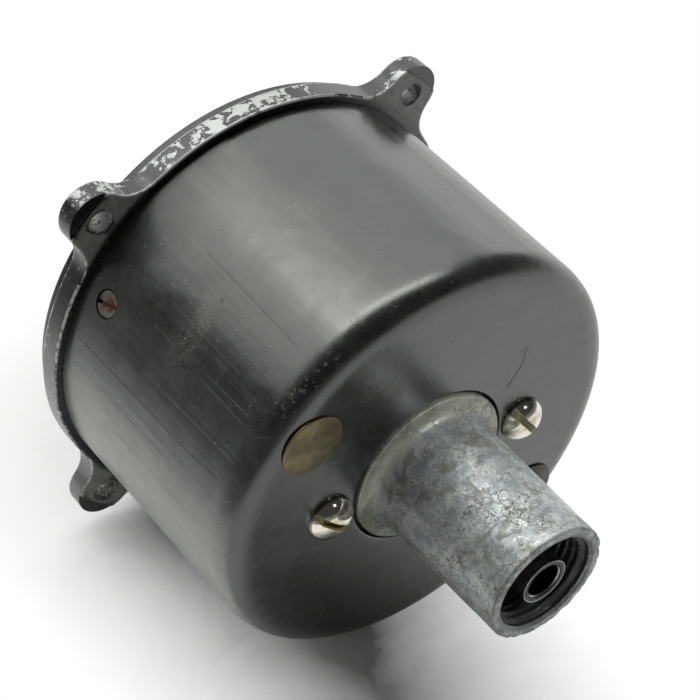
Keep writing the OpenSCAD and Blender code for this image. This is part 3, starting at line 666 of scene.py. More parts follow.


# Dust, dull bloom and straight hairlines lie along the drum, thickest on its +X side.
# The rounded rear corner is grainier than the rest.
# Tan chips sit on two stretches of the rear corner, and the underside is rubbed paler and also given a
# painted reflection of the floor.
def caseMaterial():
    material, here = startMaterial("casePaint")
    edge = attribute(here)
    radius, angle, along = polar(here)
    x, _, z = split(here)
    onSide = spanned(radius, caseRadius - 1.2 * mm, caseRadius - 0.4 * mm)
    drawn = stretched(here, (1.0, 0.012, 1.0))
    streaks = noise(drawn, 1500.0, 4.0, 0.65)
    bands = noise(drawn, 420.0, 4.0, 0.6)
    broad = noise(stretched(here, (1.0, 0.3, 1.0)), 70.0, 5.0, 0.6, 0.4)
    cloud = noise(here, 42.0, 6.0, 0.6, 0.4)
    smear = noise(here, 95.0, 6.0, 0.62, 1.2)
    dents = noise(here, 66.0, 2.0, 0.5, 0.6)
    mottle = noise(here, 240.0, 6.0, 0.62, 0.5)
    fine = noise(here, 4600.0, 3.0, 0.7)
    spots = useGroup(specks, here, 520.0, 0.035)
    worked = between(angle, 6, 52, 10) * onSide
    # The underside is painted paler: rubbing, and a painted reflection of the bright floor.
    undersideRubAndSheen = between(angle, -150, 0, 16) * onSide
    lined = between(angle, -20, 62, 16) * onSide

    # Score lines, on a map of the unrolled side in millimetres and on the rear face
    perDegree = caseRadius / mm * math.pi / 180
    sway = noise(here, 160.0, 1.0) * 0.3 - 0.15
    sideMap = Field(addNode("CombineXYZ", {"X": angle * perDegree + sway, "Y": along / mm}))
    faceMap = Field(addNode("CombineXYZ", {"X": x / mm + sway, "Y": z / mm + sway}))
    broken = spanned(noise(here, 900.0, 3.0), 0.36, 0.54, 0.35, 1.0) * onSide
    pale, dark = (scored(sideMap, [((a * perDegree, b), (c * perDegree, d), width, strength)
                                   for (a, b), (c, d), width, strength in case[key]]) * broken
                  for key in ("paleLines", "darkLines"))
    dark = largest(dark, scored(faceMap, case["faceLines"]) * (1.0 - onSide), spots * 0.5)

    # Dust: grains of fine noise, closer together where the mask is high
    patch = between(angle, 36, 46, 7) * onSide * spanned(smear, 0.3, 0.6, 0.5, 1.0)
    patch = patch * between(along - angle * (0.1 * mm), 23.4 * mm, 24.6 * mm, 4.5 * mm)
    density = largest(worked * spanned(smear, 0.36, 0.62, 0.45, 1.0), spanned(cloud, 0.5, 0.66) * 0.3)
    density = patch * 1.1 + density
    limit = 0.7 - density * 0.09
    powder = spanned(fine, limit, limit + 0.09)
    haze = spanned(mottle, 0.34, 0.66) * density * 0.07
    lines = spanned(streaks, 0.52, 0.7) * spanned(broad, 0.36, 0.6) * (lined * 0.2 + 0.02)
    dots = useGroup(specks, here, 1300.0, worked * 0.12 + 0.01)
    upper = between(angle, 35, 60, 3) * between(along, caseRear - 5 * mm, caseRear - 1.2 * mm, 1 * mm)
    lower = between(angle, -14, 3, 4) * between(along, caseRear - 6 * mm, caseRear - 2 * mm, 1.5 * mm)
    chips = useGroup(flakes, here, 900.0, largest(upper, lower) * 0.27 + 0.05)
    nicks = useGroup(flakes, here, 1500.0, edge * 0.14 + 0.12)
    # The underside's paleness is partly rubbing and partly a painted reflection of the floor.
    rubbed = undersideRubAndSheen * spanned(broad, 0.25, 0.6, 0.5, 1.0)
    rubbed = rubbed * spanned(bands, 0.35, 0.65, 0.75, 1.0) * spanned(smear, 0.35, 0.65, 0.7, 1.15)
    bloom = spanned(cloud, 0.42, 0.7) * 0.04 + spanned(mottle, 0.36, 0.64) * 0.035
    bloom = bloom + rubbed * 0.72 + patch * 0.05 + haze
    base = layered(case["paint"], (bloom + lines, case["dust"]), (rubbed * 0.3, case["worked"]),
                   (powder * 0.58, case["powder"]), (pale * 0.6, case["dust"]), (dots * 0.5, case["bright"]),
                   (chips * 0.8, case["worn"]), (nicks * 0.7, case["bright"]), (dark, case["paint"]))
    nearRing = spanned(along, 20 * mm, plateRear) * between(angle, 46, 74, 6)
    rough = cloud * 0.2 + nearRing * 0.25 + mottle * 0.08 + spanned(bands, 0.4, 0.7) * 0.06 + 0.1
    rough = rough + rubbed * 0.1 + largest(chips, powder) * 0.3
    drawnSide = onSide * spanned(along, caseRear - 3 * mm, caseRear - 7 * mm)
    height = fine * (edge * 1.5 + 0.5) + streaks * drawnSide * 1.2 - chips * 0.4 - largest(pale, dark)
    height = height + dents * (case["dentDepth"] / case["grainDepth"])
    return finished(material, (height, 1.0, case["grainDepth"]), Base_Color=base, Roughness=rough, IOR=1.9,
                    Specular_Tint=case["gleam"], Specular_IOR_Level=0.5 - dark * 0.4)


def caseMesh():
    # The drum's closed wall turned round the axis, a little uneven, with its holes cut.
    inner = caseRear - case["wall"]
    innerRadius = caseRadius - case["wall"]
    profile = roundedProfile([
        (caseRadius, plateRear, 0.15 * mm), (caseRadius, caseRear, case["corner"]),
        (case["collarHole"], caseRear, 0.35 * mm), (case["collarHole"], inner, 0.1 * mm),
        (innerRadius, inner, 3.2 * mm), (innerRadius, plateRear, 0.1 * mm)], 1.2 * mm)
    rows = revolve(profile, 360)
    outside = profile[:, :1] > innerRadius + 0.2 * mm
    rows = pushOut(rows, waves(rows, *case["sideWaves"]) * outside)
    onFace = (profile[:, 1:2] > caseRear - 1 * mm) * (profile[:, :1] > case["collarHole"] + 1 * mm)
    rows[..., 1] -= np.abs(waves(rows, *case["faceWaves"])) * onFace
    mesh = loopsToMesh("caseBlank", rows, {"edge": profile[:, 2:]})
    through = (inner - 1 * mm, caseRear + 1 * mm)
    knives = [rodMesh(case["screwHole"], *through, Matrix.Translation((side * screwReach, 0, 0)))
              for side in (-1, 1)]
    knives += [rodMesh(case["plugHole"], *through, Matrix.Translation((x, 0, z))) for x, z in plugPlaces]
    across = (innerRadius - 2 * mm, caseRadius + 2 * mm)
    knives += [rodMesh(case["sideHole"], *across, Matrix.Translation((0, sideScrewY, 0))
                       @ turnedBy(90 - angle, "Y") @ turnedBy(90, "X")) for angle in sideScrew["angles"]]
    return cutMesh(mesh, knives)


addPiece("caseShell", [caseMesh()], caseMaterial(), replaced=["case"])
print("case made")


# Drive housing: die-cast alloy, oxidised to a mottled blue-grey, with a threaded mouth
housing = {
    "light": (194, 200, 196),
    "dark": (142, 151, 155),
    # bloom: pale oxide on the collar, which is also painted light where the case shades the collar
    "bloom": (180, 184, 174),
    "olive": (116, 114, 94),
    # pit colour: dark pits and cracks, and also the painted shade inside the mouth
    "pitAndShade": (44, 46, 48),
    "glint": (222, 222, 214),
    "collarRadius": 14.6 * mm,
    "collarRise": 0.5 * mm,
    "flare": 2.5 * mm,
    "rootRadius": 11.45 * mm,
    "mouthRadius": 11.1 * mm,
    "threadRadius": 9 * mm,
    "threadDepth": 0.85 * mm,
    "pitch": 1.5 * mm,
    "mouthDepth": 19 * mm,
    "bossRadius": 9 * mm,
    "spigotRadius": 7 * mm,
    "spigotLength": 1.6 * mm,
    "boreRadius": 5.55 * mm,
    "flangeThickness": 3.2 * mm,
    "earRadius": 6.5 * mm,
    "ribThickness": 1.6 * mm,
    "ribLength": 9 * mm,
    "lumps": 0.03 * mm,
    "nicks": 26,
    "chip": 0.35 * mm,
    "around": 240,      # points in a row
}
housingLow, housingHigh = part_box("drive_housing")
mouthY = housingHigh.y
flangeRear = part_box("neck_gasket")[0].y
flangeFront = flangeRear - housing["flangeThickness"]


# Blue-grey cast skin with fine grain, dark pits, glints and thin cracks; olive dirt lies in spots,
# and most of it on the collar. The rim of the mouth is crumbly and dark, and the wall inside the mouth has
# painted shade.
def castMaterial():
    material, here = startMaterial("castAlloy")
    radius, _, along = polar(here)
    cloud = noise(here, 120.0, 5.0, 0.6, 0.4)
    patches = noise(here, 420.0, 6.0, 0.7, 0.3)
    spots = noise(here, 300.0, 6.0, 0.68, 0.8)
    fine = noise(here, 2200.0, 4.0, 0.75)
    pits = useGroup(specks, here, 1300.0, 0.2)
    grit = useGroup(flakes, here, 1700.0, 0.36)
    bent = warped(here, 900.0, 5.0, 0.0022)
    cracks = 0.0
    for scale, width in ((330.0, 0.02), (900.0, 0.045)):
        cells = addNode("TexVoronoi", {"Vector": bent, "Scale": scale}, feature="DISTANCE_TO_EDGE")
        cracks = largest(cracks, spanned(Field(cells, "Distance"), width, width / 4))
    cracks = cracks * spanned(cloud, 0.42, 0.54) * spanned(patches, 0.42, 0.52)
    # Near the collar the skin is painted paler: oxide bloom, and painted light where the case keeps the lamps
    # off.
    onCollar = spanned(along, caseRear + 3.2 * mm, caseRear + 0.6 * mm)
    stain = largest(spanned(spots, 0.5, 0.62) * 0.6, spanned(patches, 0.3, 0.64, 0.25, 0.75) * onCollar)
    # Inside the mouth the wall is painted dark: painted shade.
    shadeInMouth = spanned(radius, 9.8 * mm, 9.3 * mm) * spanned(along, mouthY - 0.1 * mm, mouthY - 0.8 * mm)
    onRim = spanned(along, mouthY - 0.5 * mm, mouthY - 0.2 * mm)
    border = between(radius, 10.0 * mm, 10.6 * mm, 0.25 * mm)
    crumbs = largest(useGroup(flakes, here, 520.0, 0.5) * 0.5, 0.45 - border * 0.25) * onRim
    dark = largest(pits * 0.55, cracks * 0.75, spanned(fine, 0.6, 0.72) * 0.45, crumbs)
    base = layered(housing["dark"], (spanned(patches, 0.36, 0.6), housing["light"]),
                   (onCollar * 0.7, housing["bloom"]), (stain, housing["olive"]),
                   (grit * 0.55, housing["glint"]), (shadeInMouth * 0.92, housing["pitAndShade"]), (dark, housing["pitAndShade"]))
    rough = patches * 0.2 + stain * 0.16 - grit * 0.15 + dark * 0.2 + 0.28
    height = patches * 0.9 + fine * 0.7 - dark * 0.8 + spots * 0.8
    return finished(material, (height, 0.9, 0.08 * mm), Base_Color=base, Roughness=rough,
                    Metallic=grit * 0.45 - dark * 0.2 + 0.34)


def housingMesh():
    # One closed profile turned round the axis: outside, rim, threaded mouth and bore.
    # The thread is a ridge whose height follows the saw of y / pitch - angle / one turn.
    thread, bore, spigot = housing["threadRadius"], housing["boreRadius"], housing["spigotRadius"]
    boss, collar, flange = housing["bossRadius"], housing["collarRadius"], housingHigh.z
    mouthFloor = mouthY - housing["mouthDepth"]
    collarTop = caseRear + housing["collarRise"]
    bossFront = housingLow.y + housing["spigotLength"]
    outer = roundedProfile([
        (bore, housingLow.y, 0.15 * mm), (spigot, housingLow.y, 0.15 * mm), (spigot, bossFront, 0.05 * mm),
        (boss, bossFront, 0.15 * mm), (boss, flangeFront, 0.3 * mm), (flange, flangeFront, 0.3 * mm),
        (flange, flangeRear, 0.3 * mm), (collar, flangeRear, 0.05 * mm), (collar, collarTop, 0.45 * mm),
        (housing["rootRadius"], collarTop, housing["flare"]), (housing["mouthRadius"], mouthY, 0.35 * mm),
        (thread + 0.5 * mm, mouthY, 0.12 * mm), (thread, mouthY - 0.5 * mm, 0)], 0.6 * mm, closed=False)
    down = np.arange(mouthY - 0.6 * mm, mouthFloor + 0.2 * mm, -0.15 * mm)
    threaded = np.column_stack([np.full(len(down), thread), down, np.zeros(len(down))])
    inner = roundedProfile([(thread, mouthFloor, 0), (bore, mouthFloor, 0.2 * mm),
                            (bore, housingLow.y + 0.5 * mm, 0)], 2 * mm, closed=False)
    profile = np.concatenate([outer, threaded, inner])
    radius, y = profile[:, :1], profile[:, 1:2]
    turn = np.linspace(0, 1, housing["around"], endpoint=False)
    ridge = np.clip(1.5 - 3 * np.abs((y / housing["pitch"] - turn) % 1 - 0.5), 0, 1)
    inThread = np.zeros((len(profile), 1))
    inThread[len(outer):len(outer) + len(threaded), 0] = np.clip(
        np.minimum(mouthY - 0.9 * mm - down, down - mouthFloor - 1 * mm) / mm, 0, 1)
    rows = pushOut(revolve(profile, housing["around"]), -housing["threadDepth"] * ridge * inThread)
    cast = (y > flangeRear) * (np.arange(len(profile))[:, None] < len(outer) - 4)
    rows = pushOut(rows, (waves(rows, 5 * mm, housing["lumps"]) - housing["lumps"]) * cast)
    angle = 2 * np.pi * turn[:, None]
    nicks = randomPicks.uniform(0, 2 * np.pi, housing["nicks"])
    widths = randomPicks.uniform(0.02, 0.09, housing["nicks"])
    apart = np.abs((angle - nicks + np.pi) % (2 * np.pi) - np.pi) / widths
    bite = (np.exp(-apart ** 2) * randomPicks.uniform(0.2, 1, housing["nicks"])).sum(1) * housing["chip"]
    bite *= 0.4 + 0.6 * np.sin(1.5 * angle[:, 0] + 0.6) ** 2
    bite = bite * np.clip(1 - np.abs(y - mouthY) / (0.5 * mm), 0, 1) * (radius > thread + 1 * mm)
    rows[..., 1] -= bite
    return loopsToMesh("castTurned", pushOut(rows, -0.7 * bite))


# A flat ear of the flange: straight sides, a round end and its screw hole
def earMesh(side):
    reach, radius = side * screwReach, housing["earRadius"]
    arc = np.linspace(-np.pi / 2, np.pi / 2, 33)
    end = np.column_stack([reach + side * radius * np.cos(arc), radius * np.sin(arc)])
    rootX = side * (housing["collarRadius"] - 2 * mm)
    outline = np.concatenate([[(rootX, -radius)], end, [(rootX, radius)]])
    hole = rodMesh(case["screwHole"], flangeFront - 1 * mm, flangeRear + 1 * mm,
                   Matrix.Translation((reach, 0, 0)))
    return cutMesh(plateMesh("ear", outline, flangeFront, flangeRear), [hole])


# A thin web between the boss and the flange, highest at the boss; its outline lies in the X-Y plane
def ribMesh(turnBy):
    boss, half = housing["bossRadius"], housing["ribThickness"] / 2
    inner, outer = boss - 1 * mm, housingHigh.z - 3 * mm
    low, high = flangeFront - housing["ribLength"], flangeFront + 1 * mm
    outline = [(inner, high), (outer, high), (outer, flangeFront - 0.8 * mm), (boss, low), (inner, low)]
    upright = turnedBy(-90, "X")     # takes the plate's Z to Y
    return placed(plateMesh("rib", outline, -half, half), turnedBy(turnBy, "Y") @ upright)


castMeshes = [housingMesh()] + [earMesh(side) for side in (-1, 1)]
castMeshes += [ribMesh(45 + 90 * k) for k in range(4)]
castHousing = addPiece("castHousing", castMeshes, castMaterial(), replaced=["drive_housing"])
print("drive housing made")


# Rear screws: nickel, bright, with dirty slots
def nickelMaterial():
    material, here = startMaterial("nickel")
    cloud = noise(here, 420.0, 5.0, 0.6)
    fine = noise(here, 2400.0, 4.0, 0.7)
    grime = attribute(here)
    base = layered((228, 224, 212), (spanned(cloud, 0.42, 0.7), (182, 174, 152)),
                   (spanned(fine, 0.6, 0.72) * 0.2, (110, 100, 80)), (grime, (132, 124, 74)))
    return finished(material, (fine * 0.3 + cloud, 0.18, 0.04 * mm), Base_Color=base,
                    Metallic=1.0 - grime * 0.9, Roughness=grime * 0.5 + cloud * 0.08 + 0.03)


def rearScrewMesh(side, slotAngle):
    # A round head and its shank turned about their own axis, with a slot cut across the head.
    # The head's outline is halfway between a shallow ball and half an ellipse.
    # The slot's walls and floor carry the mask for grime.
    head, shank, half = rearScrew["headRadius"], rearScrew["shankRadius"], rearScrew["slotWidth"] / 2
    seat, crown = caseRear + seatGap, screwHigh.y - caseRear - 0.3 * mm
    ball = (head ** 2 + crown ** 2) / (2 * crown)
    tilt = math.asin(head / ball) * np.linspace(0, 1, 22)
    reached = ball * np.sin(tilt)
    oval = crown * (1 - np.sqrt(np.maximum(1 - (reached / head) ** 2, 0)))
    dome = np.column_stack([reached, screwHigh.y - (ball * (1 - np.cos(tilt)) + oval) / 2])
    rest = [(head, seat), (shank, seat), (shank, screwLow.y), (0, screwLow.y)]
    place = Matrix.Translation((side * screwReach, 0, 0))
    mesh = spun("screwBlank", np.concatenate([dome, rest]), 72, place)
    reach = head + 1 * mm
    knife = plateMesh("slot", [(-reach, -half), (reach, -half), (reach, half), (-reach, half)],
                      screwHigh.y - rearScrew["slotDepth"], screwHigh.y + 1 * mm)
    cut = cutMesh(mesh, [placed(knife, place @ turnedBy(-slotAngle, "Y"))], 30)
    points = np.empty(len(cut.vertices) * 3)
    cut.vertices.foreach_get("co", points)
    x, y, z = points.reshape(-1, 3).T
    angle = math.radians(slotAngle)
    across = np.abs(z * math.cos(angle) - (x - side * screwReach) * math.sin(angle))
    inSlot = (across < half + 0.01 * mm) * (y > caseRear + 0.5 * mm)
    cut.attributes.new("edge", "FLOAT", "POINT").data.foreach_set("value", inSlot.astype(np.float32))
    return cut


screwHeads = addPiece("rearScrewHeads",
                      [rearScrewMesh(side, angle) for side, angle in zip((-1, 1), rearScrew["slotAngles"])],
                      nickelMaterial(), replaced=["rear_screws"])
tuned(screwHeads.modifiers.new("soft", "BEVEL"), width=rearScrew["rounding"], segments=2,
      limit_method="ANGLE", angle_limit=math.radians(40), harden_normals=False)


# Access plugs: thin brass caps, tarnished, with a worn rim that is also painted lighter as a highlight
def plugMaterial():
    material, here = startMaterial("oldBrass")
    cloud = noise(here, 190.0, 6.0, 0.66, 0.4)
    fine = noise(here, 1500.0, 4.0, 0.7)
    scraped = useGroup(scratches, here, 240.0, 0.012)
    # The rim is painted lighter and more orange: wear and a painted highlight along its edge.
    worn = spanned(attribute(here), 0.8, 1.0)
    painted = spanned(split(here)[0], 1 * mm, -1 * mm)
    base = layered(plug["brass"], (spanned(cloud, 0.36, 0.66), plug["olive"]),
                   (spanned(fine, 0.58, 0.7) * 0.45, plug["stain"]), (scraped * 0.35, plug["scrape"]),
                   (worn * 0.55, plug["rim"]), (painted * 0.85, plug["paint"]))
    return finished(material, (fine * 0.4 + cloud, 0.35, 0.05 * mm), Base_Color=base, Metallic=0.7,
                    Roughness=cloud * 0.35 + 0.28)


def plugMesh(x, z):
    # A low dome with a thin rounded rim, over a stem, turned about their own axis.
    cap, stem, bend = plug["capRadius"], plug["stemRadius"], plug["bend"]
    seat, crown = caseRear + seatGap, plugHigh.y - caseRear - plug["rimHeight"]
    ball = (cap ** 2 + crown ** 2) / (2 * crown)
    tilt = math.asin((cap - bend) / ball) * np.linspace(0, 1, 26)
    dome = np.column_stack([ball * np.sin(tilt), plugHigh.y - ball * (1 - np.cos(tilt)), 0 * tilt])
    angle = np.linspace(0, np.pi / 2, 7)[1:]
    corner = np.column_stack([bend * np.sin(angle), -bend * (1 - np.cos(angle)), np.ones(6)])
    rest = [(cap, seat, 0.6), (stem, seat, 0), (stem, plugLow.y, 0), (0, plugLow.y, 0)]
    profile = np.concatenate([dome, dome[-1] + corner, rest])
    rows = revolve(profile, 96)
    rows[..., 1] += waves(rows, *plug["waves"]) * (profile[:, 1:2] > caseRear + 0.1 * mm)
    mesh = loopsToMesh("plugTurned", rows, {"edge": profile[:, 2:]}, wrap=False)
    return placed(mesh, Matrix.Translation((x, 0, z)))


addPiece("plugCaps", [plugMesh(x, z) for x, z in plugPlaces], plugMaterial(),
         replaced=["access_plugs"])
print("screws and plugs made")


# Dial: ticks and numbers, raised a little like thick paint
dial = {
    "numbers": range(0, 36, 5),
    "top": 35,
    "start": 225,       # degrees of the zero, from +X towards +Z
    "sweep": 270,
    "numberRadius": 22.5 * mm,
    "textSize": 6.21 * mm,
    "boldness": 0.08 * mm,
    "outerRadius": 32 * mm,
    "longTick": (4.2 * mm, 0.9 * mm),
    "middleTick": (3 * mm, 0.5 * mm),
    "shortTick": (2 * mm, 0.35 * mm),
    "thickness": 0.05 * mm,
}
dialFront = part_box("dial_plate")[0].y


# Flat bars that point to the axis: bar of value v lies at start - sweep * v / top degrees.
# Its corners are (outer radius or that less the length, half the width to either side), so turned.
def ticksMesh():
    value = np.arange(0, dial["top"] + 0.25, 0.5)
    kind = np.where(value % 5 == 0, 0, np.where(value % 1 == 0, 1, 2))
    length, width = np.array([dial["longTick"], dial["middleTick"], dial["shortTick"]])[kind].T
    angle = np.radians(dial["start"] - dial["sweep"] * value / dial["top"])[:, None]
    outer = np.full_like(length, dial["outerRadius"])
    out = np.stack([outer - length, outer, outer, outer - length], -1)
    aside = np.stack([-width, -width, width, width], -1) / 2
    x = out * np.cos(angle) - aside * np.sin(angle)
    z = out * np.sin(angle) + aside * np.cos(angle)
    faces = [np.stack([x, np.full_like(x, y), z], -1)
             for y in (dialFront - dial["thickness"], dialFront + dial["thickness"])]
    corners = np.concatenate(faces, 1)
    box = np.array([(0, 1, 2, 3), (4, 7, 6, 5), (0, 4, 5, 1), (1, 5, 6, 2), (2, 6, 7, 3), (3, 7, 4, 0)])
    quads = np.arange(len(value))[:, None, None] * 8 + box
    return tidyMesh(quadMesh("ticks", corners, quads))


def numberMesh(value):
    # The number's text made solid, stood upright on the dial at its value's angle.
    text = bpy.data.curves.new("number", "FONT")
    tuned(text, body=str(value), align_x="CENTER", align_y="CENTER", size=dial["textSize"],
          extrude=dial["thickness"], offset=dial["boldness"])
    holder = addObject("number", text)
    bpy.context.view_layer.update()
    made = bpy.data.meshes.new_from_object(holder.evaluated_get(bpy.context.evaluated_depsgraph_get()))
    bpy.data.objects.remove(holder)
    angle, radius = math.radians(dial["start"] - dial["sweep"] * value / dial["top"]), dial["numberRadius"]
    place = Matrix.Translation((radius * math.cos(angle), dialFront, radius * math.sin(angle)))
    return tidyMesh(placed(made, place @ turnedBy(90, "X")))


def markMaterial():
    material, here = startMaterial("agedCream")
    cloud = noise(here, 260.0, 5.0, 0.6)
    base = blend(spanned(cloud, 0.35, 0.7), (222, 214, 178), (184, 170, 120))
    return finished(material, (noise(here, 3500.0), 0.3, 0.02 * mm), Base_Color=base,
                    Roughness=cloud * 0.2 + 0.6)


marks = markMaterial()
addPiece("dialTicks", [ticksMesh()], marks)
addPiece("dialNumbers", [numberMesh(v) for v in dial["numbers"]], marks)
print("dial drawn")


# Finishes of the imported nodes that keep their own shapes
def blackMaterial():
    material, here = startMaterial("blackEnamel")
    cloud = noise(here, 120.0, 5.0, 0.6)
    dots = useGroup(specks, here, 700.0, 0.02)
    base = layered((26, 26, 26), (spanned(cloud, 0.4, 0.75, 0.0, 0.2), (78, 76, 70)),
                   (dots * 0.4, (150, 146, 130)))
    return finished(material, (noise(here, 2600.0, 3.0, 0.7), 0.05, 0.01 * mm), Base_Color=base,
                    Roughness=cloud * 0.15 + 0.5, IOR=1.45)


def socketMaterial():
    # Turned steel, grey. Deep in the mouth it has painted shade, darkest in its bore, and bright rings at its
    # worn edges are painted highlights.
    material, here = startMaterial("turnedSteel")
    radius, _, along = polar(here)
    rings = Field(addNode("TexNoise", {"W": radius * 6000.0, "Scale": 1.0, "Detail": 2.0},
                          noise_dimensions="1D"), "Fac")
    cloud = noise(here, 500.0, 5.0, 0.6)
    fine = noise(here, 2600.0, 4.0, 0.7)
    atSocket = spanned(along, mouthY - 12 * mm, mouthY - 11 * mm)
    shadeInBore = spanned(radius, 3.15 * mm, 3.05 * mm) * atSocket
    # Bright rings at the socket's worn edges: painted highlights.
    paintedHighlightRims = largest(between(radius, 3.12 * mm, 3.24 * mm, 0.07 * mm),
                   between(radius, 4.12 * mm, 4.3 * mm, 0.06 * mm))
    # The rest of the socket is painted dark: painted shade deep in the mouth.
    socketShade = (1.0 - paintedHighlightRims) * atSocket
    base = layered((176, 176, 172), (spanned(cloud, 0.4, 0.7), (128, 126, 120)), (socketShade * 0.95, (40, 40, 38)),
                   (shadeInBore * 0.8, (30, 30, 28)))
    return finished(material, (rings * 0.5 + fine * 0.5 + cloud, 0.3, 0.03 * mm), Base_Color=base,
                    Metallic=1.0, Roughness=cloud * 0.2 + socketShade * 0.12 + 0.2)


def rustyMaterial():
    # Side screws: tan, stained metal with dark pits, and rust on the slot's floor.
    material, here = startMaterial("stainedBronze")
    cloud = noise(here, 700.0, 6.0, 0.66, 0.5)
    fine = noise(here, 2600.0, 4.0, 0.7)
    inSlot = spanned(polar(here)[0], caseRadius - 0.45 * mm, caseRadius - 0.65 * mm)
    base = layered((136, 132, 122), (spanned(cloud, 0.4, 0.6), (104, 80, 54)),
                   (spanned(fine, 0.56, 0.7) * 0.7, (62, 48, 34)), (inSlot * 0.9, (140, 90, 44)))
    return finished(material, (cloud * 0.6 + fine, 0.6, 0.06 * mm), Base_Color=base, Metallic=0.45,
                    Roughness=cloud * 0.3 + 0.36)


def glassMaterial():
    material, here = startMaterial("dialGlass")
    smear = spanned(noise(here, 60.0, 5.0, 0.6), 0.45, 0.8, 0.0, 0.05)
    return finished(material, None, Base_Color=(0.96, 0.98, 0.97, 1), Roughness=smear, IOR=1.5,
                    Transmission_Weight=1.0)


def clothMaterial(name, light, dark, scale):
    # Felt or rubber: soft cloudy colour and a short uneven nap.
    material, here = startMaterial(name)
    nap = noise(here, scale, 6.0, 0.75)
    return finished(material, (nap, 0.6, 0.1 * mm), Base_Color=blend(nap, dark, light),
                    Roughness=nap * 0.15 + 0.75)


def jewelMaterial():
    material, here = startMaterial("jewel")
    cloud = noise(here, 900.0)
    return finished(material, (cloud, 0.05, 0.01 * mm), Base_Color=blend(cloud, (150, 30, 44), (196, 60, 78)),
                    Roughness=cloud * 0.1 + 0.08, Coat_Weight=0.6)


black, steel = blackMaterial(), socketMaterial()
brass = plainMetal("brass", (206, 176, 110), (150, 122, 70), 0.28)
softIron = plainMetal("softIron", (120, 120, 122), (78, 74, 70), 0.42)
finishes = {
    "dial_black": black, "ring_paint": black, "case_paint": black,
    "steel": steel, "nickel": steel,
    "brass": brass, "old_brass": brass,
    "soft_iron": softIron, "cast_alloy": softIron,
    "pointer_paint": marks,
    "bronze": plainMetal("bronze", (190, 142, 92), (118, 84, 52), 0.34),
    "spring_bronze": plainMetal("springBronze", (178, 150, 116), (120, 98, 70), 0.22, 2000.0),
    "cup_alloy": plainMetal("cupAlloy", (206, 208, 210), (160, 162, 165), 0.3),
    "magnet_alloy": plainMetal("magnetAlloy", (104, 104, 108), (64, 64, 66), 0.5, 500.0, 0.5),
    "glass": glassMaterial(),
    "rubber": clothMaterial("rubber", (46, 46, 45), (26, 26, 26), 1200.0),
    "felt": clothMaterial("felt", (186, 166, 132), (122, 104, 78), 900.0),
    "jewel": jewelMaterial(),
}
stainedBronze = rustyMaterial()
for part in frame["record"]["subparts"]:
    materials = nodes[part["node"]].data.materials
    materials.clear()
    materials.append(stainedBronze if part["node"] == "side_screws" else finishes[part["material_slot"]])
print("finishes given")


# Floor and light: a white sheet under large soft lamps, with a dim room round it
stage = {
    "floor": (249, 249, 248),
    "shade": (238, 238, 236),
    "half": 30.0,               # metres
    "room": (0.3, 0.05),            # strength at the horizon and overhead
    "table": (168, 168, 166),
    "tableFrom": (0.12, 0.19),      # metres to +X: the sheet ends there for light and gloss
    "lamps": (    # place, width, height, radiance and the share of each that fades out at its edges
        ((-0.09, -1.23, 1.30), 4.9, 1.5, 1.5, 0.25),
        ((0.67, -1.05, 1.36), 3.2, 1.5, 0.4, 0.25),
        ((-1.31, -0.85, 0.33), 0.9, 0.8, 1.35, 0.25),
        ((-0.18, -0.49, 1.40), 1.75, 0.36, 6.9, 0.12),
    ),
    # A narrow lamp for the neck alone: place, aim, breadth of its beam in degrees, radius and watts
    "neckLamp": ((-0.45, 0.75, 0.95), (-1 * mm, 57 * mm, 7 * mm), 2.7, 0.025, 60.0),
    "underTip": (13 * mm, 60 * mm),     # where the shadow's middle line ends, from the origin
    "tailStretch": 0.5,                 # past that end the shadow is longer
    "shadeRadius": (24.5 * mm, 0.5 * mm),  # full shadow, at the line's start and at its end
    "shadeFade": (29 * mm, 38 * mm),    # from there to plain white
}


# Away from the shadow the sheet is plain white to the camera, to gloss and through glass.
# The white grows with the distance from a line under the case and the neck.
def floorMaterial():
    material, here = startMaterial("paleSheet")
    tree = material.node_tree
    cloud = noise(here, 45.0, 7.0, 0.72, 0.5)
    grain = noise(here, 500.0, 4.0, 0.7)
    x, y, _ = split(here)
    beside = spanned(x, *stage["tableFrom"])
    base = layered(stage["floor"], (spanned(cloud, 0.45, 0.7), stage["shade"]), (beside, stage["table"]))
    finished(material, (grain * 0.1 + cloud, 0.3, 1.0 * mm), Base_Color=base, Roughness=grain * 0.1 + 0.8)
    tipX, tipY = stage["underTip"]
    share = clamped(y / tipY)
    past = y - share * tipY
    distance = hypotenuse(x - share * tipX, maths("MINIMUM", past, past * stage["tailStretch"]))
    low, fade = (share * (end - start) + start for start, end in (stage["shadeRadius"], stage["shadeFade"]))
    white = clamped(cloud * 0.3 - 0.15 + (distance - low) / fade)
    ray = addNode("LightPath", tree=tree)
    onSheet = Field(ray, "Is Glossy Ray") * (1.0 - beside) * white
    seen = largest(Field(ray, "Is Camera Ray"), onSheet, Field(ray, "Is Transmission Ray"))
    mixed = addNode("MixShader", {0: white * seen, 1: Field(tree.nodes["Principled BSDF"]),
                                  2: Field(addNode("Emission", tree=tree))})
    join(Field(mixed), tree.nodes["Material Output"].inputs["Surface"])
    return material


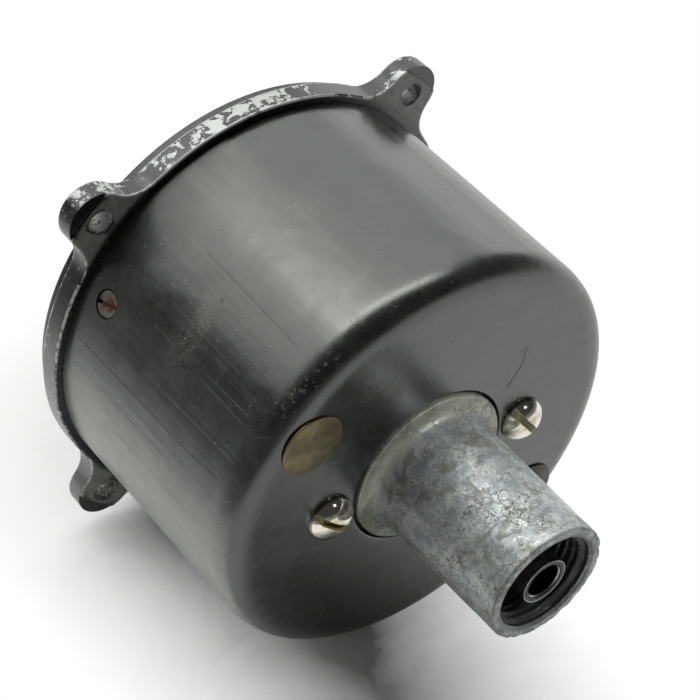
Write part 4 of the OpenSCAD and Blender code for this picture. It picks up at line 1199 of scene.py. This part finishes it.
side = np.linspace(-stage["half"], stage["half"], 9)
across, ahead = np.meshgrid(side, side, indexing="ij")
places = np.stack([across, ahead, np.full_like(across, -ringRadius)], -1)
corner = (np.arange(8)[:, None] * 9 + np.arange(8)).ravel()
floorMesh = quadMesh("floor", places, np.stack([corner, corner + 9, corner + 10, corner + 1], -1))
floorMesh.materials.append(floorMaterial())
addObject("floor", floorMesh)

world = tuned(bpy.data.worlds.new("room"), use_nodes=True)
background = world.node_tree.nodes["Background"].inputs
background["Color"].default_value = (1, 1, 1, 1)
aloft = split(Field(addNode("TexCoord", tree=world.node_tree), "Generated"))[2]
seenWhite = Field(addNode("LightPath", tree=world.node_tree), "Is Camera Ray")
join(largest(spanned(aloft, 0.0, 0.4, *stage["room"]), seenWhite), background["Strength"])
bpy.context.scene.world = world


# A soft box: brightest in the middle, fading smoothly to nothing at its four edges
def addLamp(place, width, height, radiance, soft):
    data = tuned(bpy.data.lights.new("softLamp", "AREA"), shape="RECTANGLE", size=width, size_y=height,
                 energy=radiance * math.pi * width * height, use_nodes=True)
    matrix = aimed(place, (0, 0, 0))
    position = Field(addNode("NewGeometry", tree=data.node_tree), "Position")
    offset = vectorMaths("SUBTRACT", position, place)
    strength = 1.0
    for axis, size in ((0, width), (1, height)):
        along = vectorMaths("DOT_PRODUCT", offset, matrix.col[axis].xyz, "Value")
        strength = strength * spanned(abs(along / size), 0.5, 0.5 - soft)
    join(strength, data.node_tree.nodes["Emission"].inputs["Strength"])
    addObject("softLamp", data).matrix_world = matrix


for lampValues in stage["lamps"]:
    addLamp(*lampValues)
lampPlace, lampAim, beam, lampRadius, power = stage["neckLamp"]
narrow = tuned(bpy.data.lights.new("neckLamp", "SPOT"), spot_size=math.radians(beam), spot_blend=1.0,
               shadow_soft_size=lampRadius, energy=power)
neckLamp = addObject("neckLamp", narrow)
neckLamp.matrix_world = aimed(lampPlace, lampAim)
lit = bpy.data.collections.new("litByNeckLamp")
for piece in (castHousing, screwHeads):
    lit.objects.link(piece)
neckLamp.light_linking.receiver_collection = lit
bpy.context.scene.view_settings.view_transform = "Standard"
print("stage set")
